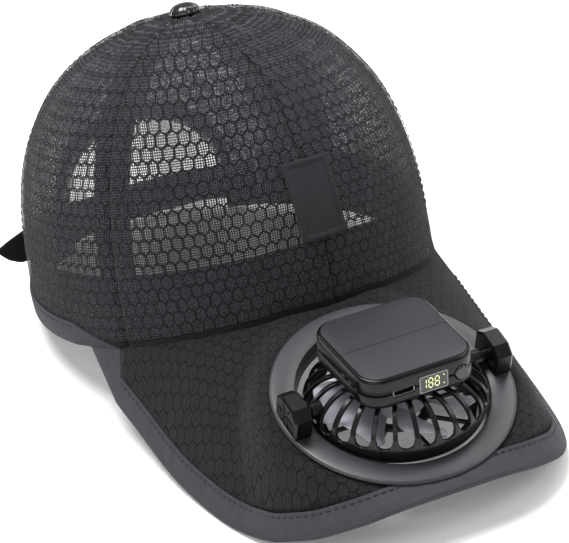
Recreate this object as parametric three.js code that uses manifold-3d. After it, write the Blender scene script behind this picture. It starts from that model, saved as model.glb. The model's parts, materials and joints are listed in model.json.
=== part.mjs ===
// A solar fan hat: a six-panel mesh cap with a curved peak, a fan that tilts between two posts
// on a flat ring in the peak, and a small case with a solar panel on top of the fan.
// Millimetres, +Z up. The cap faces -Y, and the wearer's left is towards +X.
import * as THREE from "three";
import { mergeVertices } from "three/addons/utils/BufferGeometryUtils.js";
import Module from "manifold-3d";

const wasm = await Module();
wasm.setup();

// Crown: half width, and centre line to rim in front and behind
const CROWN_HALF_WIDTH = 82;
const CROWN_FRONT = 104.4;
const CROWN_BACK = 99.5;
const CROWN_HEIGHT = 110.75;
// Powers of the crown's profile: how upright its wall stands, and how round its top is
const CROWN_WALL_POWER = 0.7;
const CROWN_TOP_POWER = 0.909;
const BUTTON_FORWARD = 9.8;
const WALL_FORWARD = 1.6;
const RIM_BACK_RISE = 3.3;
const RIM_LEVEL_TURN = 150;
const PANEL_PUFF = 1.6;
const CROWN_CLOTH = 1.2;
const CLEARANCE = 0.3;

// Seams, in degrees round from the front; the front one drifts sideways at its foot
const SEAM_TURNS = [0, 58.6, 120, 180];
const FRONT_SEAM_DRIFT = 1.8;
const TAPE_WIDTH = 16;
const TAPE_THICKNESS = 0.6;
const SWEATBAND_HEIGHT = 27;
const SWEATBAND_THICKNESS = 1.2;
const SWEATBAND_END_TURN = 140;

// Peak: slope down to the front, radius of its arch, half width, and reach in front of the rim
const PEAK_SLOPE = 32.9;
const PEAK_ARCH_RADIUS = 91.6;
const PEAK_ARCH_MARGIN = 3.9;
const PEAK_HALF_WIDTH = 79;
const PEAK_THICKNESS = 2.2;
const PEAK_ROOT_TURN = 71;

// Bindings and tapes
const RIM_BINDING_WIDTH = 8;
const PEAK_BINDING_WIDTH = 10;
const BINDING_PROUD = 0.5;
const BINDING_INNER_TURN = 61;
const BINDING_LEVEL_TURN = 78;
const OPENING_TAPE_WIDTH = 6;
const OPENING_TAPE_THICKNESS = 0.6;

// Arched opening and strap behind
const OPENING_HALF_WIDTH = 38;
const OPENING_HEIGHT = 52;
const ARCH_POWER = 2.4;
const STRAP_HEIGHT = 16;
const STRAP_ABOVE_RIM = 5;
const STRAP_THICKNESS = 1.2;

// Front patch and top button
const PATCH_WIDTH = 19;
const PATCH_LOW = 28.4;
const PATCH_HIGH = 59.9;
const PATCH_THICKNESS = 1;
const PATCH_BORDER = 1.6;
const PATCH_BORDER_RISE = 0.5;
const BUTTON_RADIUS = 6.8;
const BUTTON_HEIGHT = 4.6;

// Fan ring in the peak
const RING_FORWARD = 148.1;
const RING_RADIUS = 47.8;
const FLAT_MARGIN = 0.8;
const BEND_MARGIN = 13.6;
const PEAK_BEYOND_RING = 3.8;
const PEAK_REACH = RING_FORWARD - CROWN_FRONT + RING_RADIUS * Math.cos(THREE.MathUtils.degToRad(PEAK_SLOPE))
  + PEAK_BEYOND_RING;
const RING_INNER_RADIUS = 37.9;
const RING_THICKNESS = 1.5;
const RING_STAND = 2.3;
const COLLAR_WALL = 1.8;
const COLLAR_DEPTH = 6.9;
const LEDGE_WIDTH = 1.2;
const LEDGE_THICKNESS = 1.6;
const UNDER_RING_RADIUS = 43.2;
const UNDER_RING_THICKNESS = 1.2;

// Posts and axle, from the ring's own centre and top face
const HINGE_FORWARD = 0.8;
const HINGE_RISE = 4.2;
const HEAD_LEAN = 13.5;
const POST_INNER_FACE = 39.4;
const POST_WIDTH = 7.6;
const POST_DEPTH = 17;
const POST_HEIGHT = 12.5;
const POST_BEVEL = 0.8;
const AXLE_RADIUS = 2.75;
const AXLE_SINK = 4;
const AXLE_CLEARANCE = 0.3;
const BOSS_RADIUS = 4.4;
const BOSS_PROUD = 1.2;

// Cage, from the axle upwards
const CAGE_RADIUS = 36;
const CAGE_TOP = 7.5;
const CAGE_BOTTOM = 13.4;
const CAGE_WALL = 1.5;
const CAGE_SLOTS = 26;
const RIB_WIDTH = 1.5;
const GRILLE_THICKNESS = 1.3;
const GRILLE_SPOKES = 8;
const GRILLE_BAR = 1.4;

// Case on the fan
const CASE_WIDTH = 48.3;
const CASE_DEPTH = 48.6;
const CASE_HEIGHT = 13.2;
const CASE_CORNER = 9.5;
const CASE_BEVEL = 1.2;
const CASE_SPLIT = 6.3;
const SOLAR_MARGIN = 1.5;
const SOLAR_THICKNESS = 1.2;
const SOLAR_PROUD = 0.5;

// Front face of the case: each item's place to the side, its size and its depth in the case
const PORT_SIDE = -8.4;
const PORT_WIDTH = 9.4;
const PORT_HEIGHT = 3.4;
const PORT_WALL = 0.6;
const PORT_DEPTH = 6;
const DISPLAY_SIDE = 4.1;
const DISPLAY_WIDTH = 12.2;
const DISPLAY_HEIGHT = 7.4;
const DISPLAY_THICKNESS = 1;
const DISPLAY_PROUD = 0.1;
const PUSH_SIDE = 16.2;
const PUSH_RADIUS = 3;
const PUSH_LENGTH = 2.6;
const PUSH_PROUD = 0.7;
const PUSH_TRAVEL = 0.6;

// Motor and fan wheel
const MOTOR_RADIUS = 11;
const MOTOR_HEIGHT = 7.4;
const SHAFT_RADIUS = 1.2;
const SHAFT_LENGTH = 4;
const SHAFT_CLEARANCE = 0.2;
const HUB_RADIUS = 12;
const HUB_HEIGHT = 8;
const BLADE_COUNT = 7;
const BLADE_RADIUS = 31.5;
const BLADE_SWEEP = 40;
const BLADE_LEAN = 10;
const BLADE_SINK = 2.4;
const BLADE_THICKNESS = 1;

const rad = THREE.MathUtils.degToRad;
const deg = THREE.MathUtils.radToDeg;
const mix = THREE.MathUtils.lerp;
const vec = (x, y, z) => new THREE.Vector3(x, y, z);
const ease = (share) => THREE.MathUtils.smoothstep(share, 0, 1);
const steps = (from, to, count) => Array.from({ length: count + 1 }, (_, k) => mix(from, to, k / count));

// Closed geometry from points and triangles, turned so that its faces point out
function closedGeometry(points, triangles) {
  let volume = 0;
  for (const [a, b, c] of triangles) {
    volume += points[a].dot(points[b].clone().cross(points[c]));
  }
  const facing = volume > 0 ? triangles : triangles.map(([a, b, c]) => [a, c, b]);
  const geometry = new THREE.BufferGeometry();
  const numbers = points.flatMap((point) => [point.x, point.y, point.z]);
  geometry.setAttribute("position", new THREE.Float32BufferAttribute(numbers, 3));
  geometry.setIndex(facing.flat());
  return geometry;
}

// A shell between an outer and an inner face, both given on a grid of columns and rows. Cells that
// keep refuses are left open, and every free edge gets a wall. A round shell joins its last
// column to its first.
function shellSolid({ columns, rows, outer, inner, round = false, keep = () => true }) {
  const across = round ? columns : columns + 1;
  const points = [];
  for (const face of [outer, inner]) {
    for (let i = 0; i < across; i += 1) {
      for (let j = 0; j <= rows; j += 1) {
        points.push(face(i, j));
      }
    }
  }
  const innerStart = across * (rows + 1);
  const at = (i, j) => ((i + across) % across) * (rows + 1) + j;
  const kept = (i, j) => {
    const column = round ? (i + columns) % columns : i;
    return column >= 0 && column < columns && j >= 0 && j < rows && keep(column, j);
  };
  const triangles = [];
  const quad = (a, b, c, d) => triangles.push([a, b, c], [a, c, d]);
  const wall = (a, b) => quad(b, a, a + innerStart, b + innerStart);
  for (let i = 0; i < columns; i += 1) {
    for (let j = 0; j < rows; j += 1) {
      if (!kept(i, j)) {
        continue;
      }
      const corners = [at(i, j), at(i + 1, j), at(i + 1, j + 1), at(i, j + 1)];
      const [a, b, c, d] = corners;
      quad(a, b, c, d);
      quad(d + innerStart, c + innerStart, b + innerStart, a + innerStart);
      if (!kept(i, j - 1)) {
        wall(a, b);
      }
      if (!kept(i + 1, j)) {
        wall(b, c);
      }
      if (!kept(i, j + 1)) {
        wall(c, d);
      }
      if (!kept(i - 1, j)) {
        wall(d, a);
      }
    }
  }
  return closedGeometry(compact(points, triangles), triangles);
}

// Drops the points that no triangle uses and renumbers the triangles to match
function compact(points, triangles) {
  const places = new Map();
  const used = [];
  for (const triangle of triangles) {
    triangle.forEach((index, k) => {
      if (!places.has(index)) {
        places.set(index, used.length);
        used.push(points[index]);
      }
      triangle[k] = places.get(index);
    });
  }
  return used;
}

// A strip swept through sections of the same number of corners, closed at both ends
function sweptSolid(sections) {
  const corners = sections[0].length;
  const triangles = [];
  for (let s = 0; s < sections.length - 1; s += 1) {
    for (let k = 0; k < corners; k += 1) {
      const a = s * corners + k;
      const b = s * corners + (k + 1) % corners;
      triangles.push([a, b, b + corners], [a, b + corners, a + corners]);
    }
  }
  const last = (sections.length - 1) * corners;
  for (let k = 1; k < corners - 1; k += 1) {
    triangles.push([0, k + 1, k], [last, last + k, last + k + 1]);
  }
  return closedGeometry(sections.flat(), triangles);
}

// three.js geometry to a solid for joining and cutting, and back
function toSolid(geometry) {
  const bare = geometry.clone();
  bare.deleteAttribute("normal");
  bare.deleteAttribute("uv");
  const merged = mergeVertices(bare, 1e-4);
  const mesh = new wasm.Mesh({
    numProp: 3,
    vertProperties: new Float32Array(merged.attributes.position.array),
    triVerts: new Uint32Array(merged.index.array),
  });
  return new wasm.Manifold(mesh);
}

function toGeometry(solid) {
  const mesh = solid.getMesh();
  const geometry = new THREE.BufferGeometry();
  geometry.setAttribute("position", new THREE.Float32BufferAttribute(mesh.vertProperties, 3));
  geometry.setIndex(Array.from(mesh.triVerts));
  return geometry;
}

const cut = (geometry, ...tools) => toGeometry(tools.reduce((rest, tool) => rest.subtract(toSolid(tool)),
  toSolid(geometry)));
const join = (...pieces) => toGeometry(pieces.map(toSolid).reduce((sum, piece) => sum.add(piece)));

// Height of the peak's top face over the plan: a slope with an arch across it, flat round the fan ring
function peakHeight(x, y) {
  const away = Math.hypot(x, (y + RING_FORWARD) / Math.cos(rad(PEAK_SLOPE)));
  const bend = THREE.MathUtils.smoothstep(away, RING_RADIUS + FLAT_MARGIN, PEAK_HALF_WIDTH - BEND_MARGIN);
  const span = Math.max(PEAK_HALF_WIDTH, CROWN_HALF_WIDTH) + PEAK_ARCH_MARGIN;
  const drop = PEAK_ARCH_RADIUS * (1 - Math.sqrt(1 - (x / span) ** 2));
  return Math.tan(rad(PEAK_SLOPE)) * (CROWN_FRONT + y) - drop * bend;
}

function peakFace(x, y, proud = 0) {
  const step = 0.5;
  const slopeX = (peakHeight(x + step, y) - peakHeight(x - step, y)) / (2 * step);
  const slopeY = (peakHeight(x, y + step) - peakHeight(x, y - step)) / (2 * step);
  const normal = vec(-slopeX, -slopeY, 1).normalize();
  return vec(x, y, peakHeight(x, y)).addScaledVector(normal, proud);
}

// Height of the rim: it follows the peak's root in front and runs level behind
function rimHeight(turn) {
  const angle = Math.abs(((turn + 540) % 360) - 180);
  const rootTurn = Math.min(angle, PEAK_ROOT_TURN);
  const x = CROWN_HALF_WIDTH * Math.sin(rad(rootTurn));
  const y = -CROWN_FRONT * Math.cos(rad(rootTurn));
  const front = peakHeight(x, y);
  return mix(front, RIM_BACK_RISE, ease((angle - PEAK_ROOT_TURN) / (RIM_LEVEL_TURN - PEAK_ROOT_TURN)));
}

// Share of the way across the panel that a turn falls in, from 0 at one seam to 1 at the next
function panelShare(turn) {
  const angle = Math.abs(((turn + 540) % 360) - 180);
  const next = Math.max(1, SEAM_TURNS.findIndex((seam) => seam >= angle));
  return (angle - SEAM_TURNS[next - 1]) / (SEAM_TURNS[next] - SEAM_TURNS[next - 1]);
}

// A point of the crown. turn is in degrees round from the front, positive to the wearer's left;
// rise goes from 0 at the rim to 1 at the top; proud is how far it stands off the outer face.
function crownFace(turn, rise) {
  const height = Math.sin(rise * Math.PI / 2) ** CROWN_WALL_POWER;
  const reach = Math.cos(rise * Math.PI / 2) ** CROWN_TOP_POWER;
  const depth = Math.cos(rad(turn)) > 0 ? CROWN_FRONT : CROWN_BACK;
  const puff = PANEL_PUFF * Math.sin(Math.PI * panelShare(turn)) * Math.sin(Math.PI * rise);
  const shift = BUTTON_FORWARD * height ** 1.5 + WALL_FORWARD * 4 * height * (1 - height);
  return vec(
    (CROWN_HALF_WIDTH + puff) * reach * Math.sin(rad(turn)),
    -shift - (depth + puff) * reach * Math.cos(rad(turn)),
    CROWN_HEIGHT * height + rimHeight(turn) * (1 - height) ** 2,
  );
}

function crownPoint(turn, rise, proud = 0) {
  const step = 0.002;
  const low = Math.max(rise - step, 0);
  const high = Math.min(rise + step, 1);
  const across = crownFace(turn + 0.2, rise).sub(crownFace(turn - 0.2, rise));
  const up = crownFace(turn, high).sub(crownFace(turn, low));
  const normal = across.cross(up).normalize();
  return crownFace(turn, rise).addScaledVector(normal, proud);
}

// The rise at which the crown's wall stands a given height above the rim
const riseAt = (height) => Math.asin((height / CROWN_HEIGHT) ** (1 / CROWN_WALL_POWER)) * 2 / Math.PI;

// Turn of a seam at a rise
function seamTurn(index, rise) {
  const drift = index === 0 ? FRONT_SEAM_DRIFT * (1 - rise) ** 2 : 0;
  return SEAM_TURNS[index] + drift;
}

// Height of the binding's upper line over the rim: it climbs from the peak's root to its full width
function bindingHeight(turn) {
  const share = (Math.abs(turn) - BINDING_INNER_TURN) / (BINDING_LEVEL_TURN - BINDING_INNER_TURN);
  return RIM_BINDING_WIDTH * THREE.MathUtils.clamp(share, 0, 1);
}

// Edge of the arched opening behind, as a turn at each rise
const OPENING_TURN = 180 - deg(Math.asin(OPENING_HALF_WIDTH / CROWN_HALF_WIDTH));
const OPENING_TOP = riseAt(OPENING_HEIGHT);
function openingTurn(rise) {
  const share = Math.min(rise / OPENING_TOP, 1);
  return 180 - (180 - OPENING_TURN) * Math.sqrt(1 - share ** ARCH_POWER);
}

const MESH_CLOTH = { color: 0x3a3a3e, roughness: 0.9, metalness: 0 };
const DARK_CLOTH = { color: 0x232325, roughness: 0.95, metalness: 0 };
const GREY_BINDING = { color: 0x4c4b50, roughness: 0.9, metalness: 0 };
const BLACK_PLASTIC = { color: 0x18191a, roughness: 0.4, metalness: 0 };
const GREY_PLASTIC = { color: 0x56575b, roughness: 0.5, metalness: 0 };
const BLADE_PLASTIC = { color: 0x6a6b70, roughness: 0.5, metalness: 0 };
const SOLAR_GLASS = { color: 0x4d4d58, roughness: 0.25, metalness: 0 };
const DISPLAY_GLASS = { color: 0x2a2b26, roughness: 0.2, metalness: 0 };
const SOCKET_METAL = { color: 0x5a5b5e, roughness: 0.35, metalness: 0.8 };

const cap = new THREE.Group();
function add(parent, name, geometry, finish) {
  const mesh = new THREE.Mesh(geometry, new THREE.MeshStandardMaterial(finish));
  mesh.name = name;
  parent.add(mesh);
  return mesh;
}

// Crown panels, each a shell between two seams, with its rows closer together near the rim
const PANEL_TOP = 0.985;
const LOW_RISES = [0.06, OPENING_TOP * 0.62, OPENING_TOP * 0.88, OPENING_TOP];
const PANEL_RISES = [...LOW_RISES, 0.31, 0.44, 0.57, 0.7, 0.82, 0.92];
const RAMP_TURNS = steps(BINDING_INNER_TURN, BINDING_LEVEL_TURN, 2);
const PANEL_TURNS = [
  steps(SEAM_TURNS[0], SEAM_TURNS[1], 7),
  [SEAM_TURNS[1], ...RAMP_TURNS, ...steps(BINDING_LEVEL_TURN, SEAM_TURNS[2], 4).slice(1)],
  steps(SEAM_TURNS[2], SEAM_TURNS[3], 7),
];

function panelSolid(side, index) {
  const turns = PANEL_TURNS[index];
  const [start, end] = [SEAM_TURNS[index], SEAM_TURNS[index + 1]];
  const point = (column, row, proud) => {
    const low = index === 0 ? 0 : riseAt(bindingHeight(turns[column]) + CLEARANCE);
    const rise = [low, ...PANEL_RISES, PANEL_TOP][row];
    const gap = deg(CLEARANCE / 2 / (CROWN_HALF_WIDTH * Math.cos(rise * Math.PI / 2) ** CROWN_TOP_POWER));
    const from = (index === 0 ? side * seamTurn(0, rise) : start) + gap;
    const to = (index === 2 ? openingTurn(rise) : end) - gap;
    const share = (turns[column] - start) / (end - start);
    return crownPoint(side * mix(from, to, share), rise, proud);
  };
  return shellSolid({
    columns: turns.length - 1,
    rows: PANEL_RISES.length + 1,
    outer: (i, j) => point(i, j, 0),
    inner: (i, j) => point(i, j, -CROWN_CLOTH),
  });
}

const SIDES = { left: 1, right: -1 };
for (const [word, side] of Object.entries(SIDES)) {
  add(cap, `front_panel_${word}`, panelSolid(side, 0), MESH_CLOTH);
  add(cap, `side_panel_${word}`, panelSolid(side, 1), MESH_CLOTH);
  add(cap, `back_panel_${word}`, panelSolid(side, 2), MESH_CLOTH);
}

// Seam tapes on the inside of the six seams, narrowing where they meet at the top
const TAPE_RISES = [...PANEL_RISES.slice(1, -1), 0.92];
const TAPE_MOST_TURN = 27;
function seamTape(side, index, lowest) {
  const rises = [lowest, ...TAPE_RISES.filter((rise) => rise > lowest + 0.02)];
  const point = (column, row, depth) => {
    const rise = rises[row];
    const reach = CROWN_HALF_WIDTH * Math.cos(rise * Math.PI / 2) ** CROWN_TOP_POWER;
    const half = Math.min(deg(TAPE_WIDTH / 2 / reach), TAPE_MOST_TURN);
    return crownPoint(side * seamTurn(index, rise) + (column - 1) * half, rise, -depth);
  };
  const face = CROWN_CLOTH + CLEARANCE * 1.6;
  return shellSolid({
    columns: 2,
    rows: rises.length - 1,
    outer: (i, j) => point(i, j, face),
    inner: (i, j) => point(i, j, face + TAPE_THICKNESS),
  });
}

const TAPE_LOW = riseAt(SWEATBAND_HEIGHT + CLEARANCE * 2);
const ARCH_LOW = OPENING_TOP + 0.02;
add(cap, "front_seam_tape", seamTape(1, 0, TAPE_LOW), DARK_CLOTH);
add(cap, "back_seam_tape", seamTape(1, 3, ARCH_LOW), DARK_CLOTH);
for (const [word, side] of Object.entries(SIDES)) {
  add(cap, `${word}_front_seam_tape`, seamTape(side, 1, TAPE_LOW), DARK_CLOTH);
  add(cap, `${word}_back_seam_tape`, seamTape(side, 2, TAPE_LOW), DARK_CLOTH);
}

// Sweatband inside the rim, from one side of the opening round the front to the other
const SWEATBAND_FACE = CROWN_CLOTH + CLEARANCE * 4;
const BAND_TURNS = steps(-SWEATBAND_END_TURN, SWEATBAND_END_TURN, 28);
const BAND_RISES = [0, riseAt(SWEATBAND_HEIGHT / 2), riseAt(SWEATBAND_HEIGHT)];
add(cap, "sweatband", shellSolid({
  columns: BAND_TURNS.length - 1,
  rows: 2,
  outer: (i, j) => crownPoint(BAND_TURNS[i], BAND_RISES[j], -SWEATBAND_FACE),
  inner: (i, j) => crownPoint(BAND_TURNS[i], BAND_RISES[j], -SWEATBAND_FACE - SWEATBAND_THICKNESS),
}), DARK_CLOTH);

// Top button: a low dome over the meeting point of the panels
const buttonProfile = steps(0, 90, 5).map((angle) => new THREE.Vector2(
  BUTTON_RADIUS * Math.cos(rad(angle)),
  BUTTON_HEIGHT * Math.sin(rad(angle)),
));
const buttonDome = new THREE.LatheGeometry([new THREE.Vector2(0, 0), ...buttonProfile], 18);
buttonDome.rotateX(Math.PI / 2);
const button = add(cap, "top_button", buttonDome, BLACK_PLASTIC);
button.position.set(0, -BUTTON_FORWARD, CROWN_HEIGHT + CLEARANCE);

// Outline of the peak in plan, from its left root over the front to its right root.
// along: share of the way from the root's end to the front. wide: share of the half width.
const ROOT_END = crownFace(PEAK_ROOT_TURN, 0);
const PEAK_FRONT = -CROWN_FRONT - PEAK_REACH;
const OUTLINE = [
  { along: 0, wide: ROOT_END.x / PEAK_HALF_WIDTH },
  { along: 0.095, wide: 1.006 },
  { along: 0.239, wide: 0.997 },
  { along: 0.46, wide: 0.97 },
  { along: 0.671, wide: 0.895 },
  { along: 0.805, wide: 0.789 },
  { along: 0.9, wide: 0.66 },
  { along: 0.965, wide: 0.485 },
  { along: 0.993, wide: 0.309 },
  { along: 1, wide: 0 },
];
const leftOutline = OUTLINE.map(({ along, wide }) => vec(wide * PEAK_HALF_WIDTH,
  mix(ROOT_END.y, PEAK_FRONT, along), 0));
const rightOutline = leftOutline.slice(0, -1).reverse().map((point) => vec(-point.x, point.y, 0));
const outlineCurve = new THREE.CatmullRomCurve3([...leftOutline, ...rightOutline]);
outlineCurve.arcLengthDivisions = 2000;

// The binding's two edges on the peak: the outline, and a line inside it by the binding's width
const PEAK_STATIONS = 36;
const END_SHARE = 0.053;
const outlineShares = steps(END_SHARE, 1 - END_SHARE, PEAK_STATIONS);
function peakEdge(share, width) {
  const edge = outlineCurve.getPointAt(share);
  const along = outlineCurve.getTangentAt(share);
  const inward = vec(along.y, -along.x, 0);
  const start = peakFace(edge.x, edge.y);
  let plan = width;
  for (let attempt = 0; attempt < 4; attempt += 1) {
    const end = edge.clone().addScaledVector(inward, plan);
    plan *= width / Math.max(start.distanceTo(peakFace(end.x, end.y)), 0.01);
  }
  return edge.addScaledVector(inward, width > 0 ? plan : 0);
}

const BINDING_FOLD = 0.9;
const edgeSection = (edge, inner, face, proud, depth) => {
  const out = edge.clone().sub(inner).normalize();
  const middle = face(edge, (proud - depth) / 2).addScaledVector(out, BINDING_FOLD);
  return [face(inner, proud), face(edge, proud), middle, face(edge, -depth), face(inner, -depth)];
};
const peakSection = (share) => edgeSection(peakEdge(share, 0), peakEdge(share, PEAK_BINDING_WIDTH),
  (point, proud) => peakFace(point.x, point.y, proud), BINDING_PROUD, PEAK_THICKNESS + BINDING_PROUD);

// A section of the binding on the rim. Where the peak begins, its edge runs ahead of its upper line.
function rimSection(side, turn) {
  const ramp = (turn - BINDING_INNER_TURN) / (BINDING_LEVEL_TURN - BINDING_INNER_TURN);
  const edgeTurn = ramp < 1 ? mix(PEAK_ROOT_TURN, BINDING_LEVEL_TURN, ramp) : turn;
  const upper = riseAt(bindingHeight(turn));
  const depth = CROWN_CLOTH + CLEARANCE;
  const middle = crownPoint(side * edgeTurn, 0, (BINDING_PROUD - depth) / 2);
  middle.z -= BINDING_FOLD;
  return [
    crownPoint(side * turn, upper, BINDING_PROUD),
    crownPoint(side * edgeTurn, 0, BINDING_PROUD),
    middle,
    crownPoint(side * edgeTurn, 0, -depth),
    crownPoint(side * turn, upper, -depth),
  ];
}
const rimTurns = [...RAMP_TURNS, ...steps(BINDING_LEVEL_TURN, SEAM_TURNS[2], 4).slice(1),
  ...steps(SEAM_TURNS[2], OPENING_TURN, 7).slice(1)];
add(cap, "edge_binding", sweptSolid([
  ...[...rimTurns].reverse().map((turn) => rimSection(1, turn)),
  ...outlineShares.map(peakSection),
  ...rimTurns.map((turn) => rimSection(-1, turn)),
]), GREY_BINDING);

// Peak: a shell from the crown's foot out to the binding, with the round hole for the fan
const ringPlace = new THREE.Matrix4().makeRotationX(rad(PEAK_SLOPE))
  .setPosition(peakFace(0, -RING_FORWARD, RING_STAND));
const COLLAR_RADIUS = RING_INNER_RADIUS + COLLAR_WALL;
const PEAK_ROWS = 6;
const PEAK_COLUMNS = PEAK_STATIONS;
function peakPlan(column, row) {
  const turn = mix(1, -1, column / PEAK_COLUMNS) * (BINDING_INNER_TURN - 3);
  const root = crownPoint(turn, 0, CLEARANCE);
  const rim = peakEdge(outlineShares[column], PEAK_BINDING_WIDTH + CLEARANCE * 2);
  return vec(mix(root.x, rim.x, row / PEAK_ROWS), mix(root.y, rim.y, row / PEAK_ROWS), 0);
}
const peakShell = shellSolid({
  columns: PEAK_COLUMNS,
  rows: PEAK_ROWS,
  outer: (i, j) => peakFace(peakPlan(i, j).x, peakPlan(i, j).y),
  inner: (i, j) => peakFace(peakPlan(i, j).x, peakPlan(i, j).y, -PEAK_THICKNESS),
});
const HOLE_RADIUS = COLLAR_RADIUS + CLEARANCE;
const peakHole = new THREE.CylinderGeometry(HOLE_RADIUS, HOLE_RADIUS, COLLAR_DEPTH * 6, 36)
  .rotateX(Math.PI / 2).applyMatrix4(ringPlace);
add(cap, "peak", cut(peakShell, peakHole), MESH_CLOTH);

// Tape round the arched opening, laid on the back panels
const ARCH_STATIONS = 18;
const ARCH_TOP = riseAt(OPENING_HEIGHT + OPENING_TAPE_WIDTH + 1);
const ARCH_EDGE = 0.08;
const ARCH_SPACING = 0.8;
function archSection(share) {
  const angle = mix(-90, 90, share);
  const side = Math.sign(angle) || 1;
  const low = riseAt(RIM_BINDING_WIDTH + CLEARANCE * 2);
  const place = (spread) => {
    const top = mix(OPENING_TOP, ARCH_TOP, spread);
    const rise = mix(low, top, Math.cos(rad(angle)) ** ARCH_SPACING);
    const height = THREE.MathUtils.clamp((rise - low) / (top - low), 0, 1);
    const half = 180 - OPENING_TURN + spread * deg(OPENING_TAPE_WIDTH / CROWN_BACK);
    return [180 - side * half * Math.sqrt(1 - height ** ARCH_POWER), rise];
  };
  const [edge, outer] = [place(ARCH_EDGE), place(1)];
  const bottom = CLEARANCE * 2;
  const top = bottom + OPENING_TAPE_THICKNESS;
  return [crownPoint(...edge, bottom), crownPoint(...outer, bottom), crownPoint(...outer, top),
    crownPoint(...edge, top)];
}
add(cap, "opening_tape", sweptSolid(steps(0, 1, ARCH_STATIONS).map(archSection)), DARK_CLOTH);

// Strap across the opening: the inner half comes from the right, the outer half from the left and
// passes over it, out over the right panel, to a pointed free end
function strapSection({ turn, depth, fill, lift }) {
  const middle = STRAP_ABOVE_RIM + STRAP_HEIGHT / 2 + lift;
  const low = riseAt(middle - fill * STRAP_HEIGHT / 2);
  const high = riseAt(middle + fill * STRAP_HEIGHT / 2);
  return [crownPoint(turn, low, -depth), crownPoint(turn, high, -depth),
    crownPoint(turn, high, -depth - STRAP_THICKNESS), crownPoint(turn, low, -depth - STRAP_THICKNESS)];
}
const STRAP_FACE = CROWN_CLOTH + CLEARANCE * 2;
const OVER_PANEL = -CLEARANCE * 4 - OPENING_TAPE_THICKNESS - STRAP_THICKNESS;
const STRAP_END_TURN = SWEATBAND_END_TURN + 2;
const FAR_SIDE_TURN = 360 - OPENING_TURN;
// turn: round from the front. depth: inside the crown's outer face. fill: share of the strap's height.
// lift: how far its middle line climbs.
const OUTER_STRAP = [
  { turn: STRAP_END_TURN, depth: STRAP_FACE, fill: 1, lift: 0 },
  { turn: OPENING_TURN, depth: STRAP_FACE, fill: 1, lift: 0 },
  { turn: OPENING_TURN + 8, depth: 0, fill: 1, lift: 0 },
  { turn: 170, depth: -CLEARANCE, fill: 1, lift: 0 },
  { turn: 180, depth: -CLEARANCE, fill: 1, lift: 0 },
  { turn: 190, depth: -CLEARANCE, fill: 1, lift: 0 },
  { turn: FAR_SIDE_TURN - 6, depth: OVER_PANEL, fill: 1, lift: 0 },
  { turn: FAR_SIDE_TURN, depth: OVER_PANEL, fill: 1, lift: 0 },
  { turn: FAR_SIDE_TURN + 8, depth: OVER_PANEL - 0.5, fill: 1, lift: 0 },
  { turn: FAR_SIDE_TURN + 15, depth: OVER_PANEL - 2.5, fill: 0.95, lift: 0.5 },
  { turn: FAR_SIDE_TURN + 20, depth: OVER_PANEL - 6, fill: 0.8, lift: 0.5 },
  { turn: FAR_SIDE_TURN + 23, depth: OVER_PANEL - 9.5, fill: 0.5, lift: 1.5 },
  { turn: FAR_SIDE_TURN + 25, depth: OVER_PANEL - 12.5, fill: 0.1, lift: 3 },
];
add(cap, "strap_outer", sweptSolid(OUTER_STRAP.map(strapSection)), DARK_CLOTH);
add(cap, "strap_inner", sweptSolid(steps(360 - STRAP_END_TURN, OPENING_TURN + 12, 7)
  .map((turn) => strapSection({ turn, depth: STRAP_FACE, fill: 1, lift: 0 }))), DARK_CLOTH);

// Front patch: a bare rectangle over the front seam, with a raised border round a lower field
function patchPoint(across, rise, proud) {
  const reach = CROWN_HALF_WIDTH * Math.cos(rise * Math.PI / 2) ** CROWN_TOP_POWER;
  const turn = seamTurn(0, rise) + deg(across * PATCH_WIDTH / 2 / reach);
  return crownPoint(turn, rise, proud);
}
const PATCH_LIP = 0.4;
const lipShares = [PATCH_BORDER, PATCH_BORDER + PATCH_LIP].map((inset) => 1 - 2 * inset / PATCH_WIDTH);
const patchAcross = [-1, -lipShares[0], -lipShares[1], 0, lipShares[1], lipShares[0], 1];
const patchHeights = [
  PATCH_LOW,
  PATCH_LOW + PATCH_BORDER,
  PATCH_LOW + PATCH_BORDER + PATCH_LIP,
  ...steps(PATCH_LOW, PATCH_HIGH, 4).slice(1, -1),
  PATCH_HIGH - PATCH_BORDER - PATCH_LIP,
  PATCH_HIGH - PATCH_BORDER,
  PATCH_HIGH,
];
const inField = (k, list) => k > 1 && k < list.length - 2;
const patchProud = (i, j) => CLEARANCE + PATCH_THICKNESS
  + (inField(i, patchAcross) && inField(j, patchHeights) ? 0 : PATCH_BORDER_RISE);
add(cap, "front_patch", shellSolid({
  columns: patchAcross.length - 1,
  rows: patchHeights.length - 1,
  outer: (i, j) => patchPoint(patchAcross[i], riseAt(patchHeights[j]), patchProud(i, j)),
  inner: (i, j) => patchPoint(patchAcross[i], riseAt(patchHeights[j]), CLEARANCE),
}), DARK_CLOTH);

// A round solid about the Z axis from a closed list of [radius, height] pairs
const turned = (profile, sides = 40) => new THREE.LatheGeometry(
  [...profile, profile[0]].map(([radius, height]) => new THREE.Vector2(radius, height)),
  sides,
).rotateX(Math.PI / 2);
const cylinder = (radius, low, high, sides = 24) => turned(
  [[0, low], [radius, low], [radius, high], [0, high]],
  sides,
);
const alongX = (geometry) => geometry.rotateY(Math.PI / 2);

// The ring's own frame: Z out of its top face, Y up the peak towards the crown
const ringFrame = new THREE.Group();
ringFrame.applyMatrix4(ringPlace);
cap.add(ringFrame);

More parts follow.
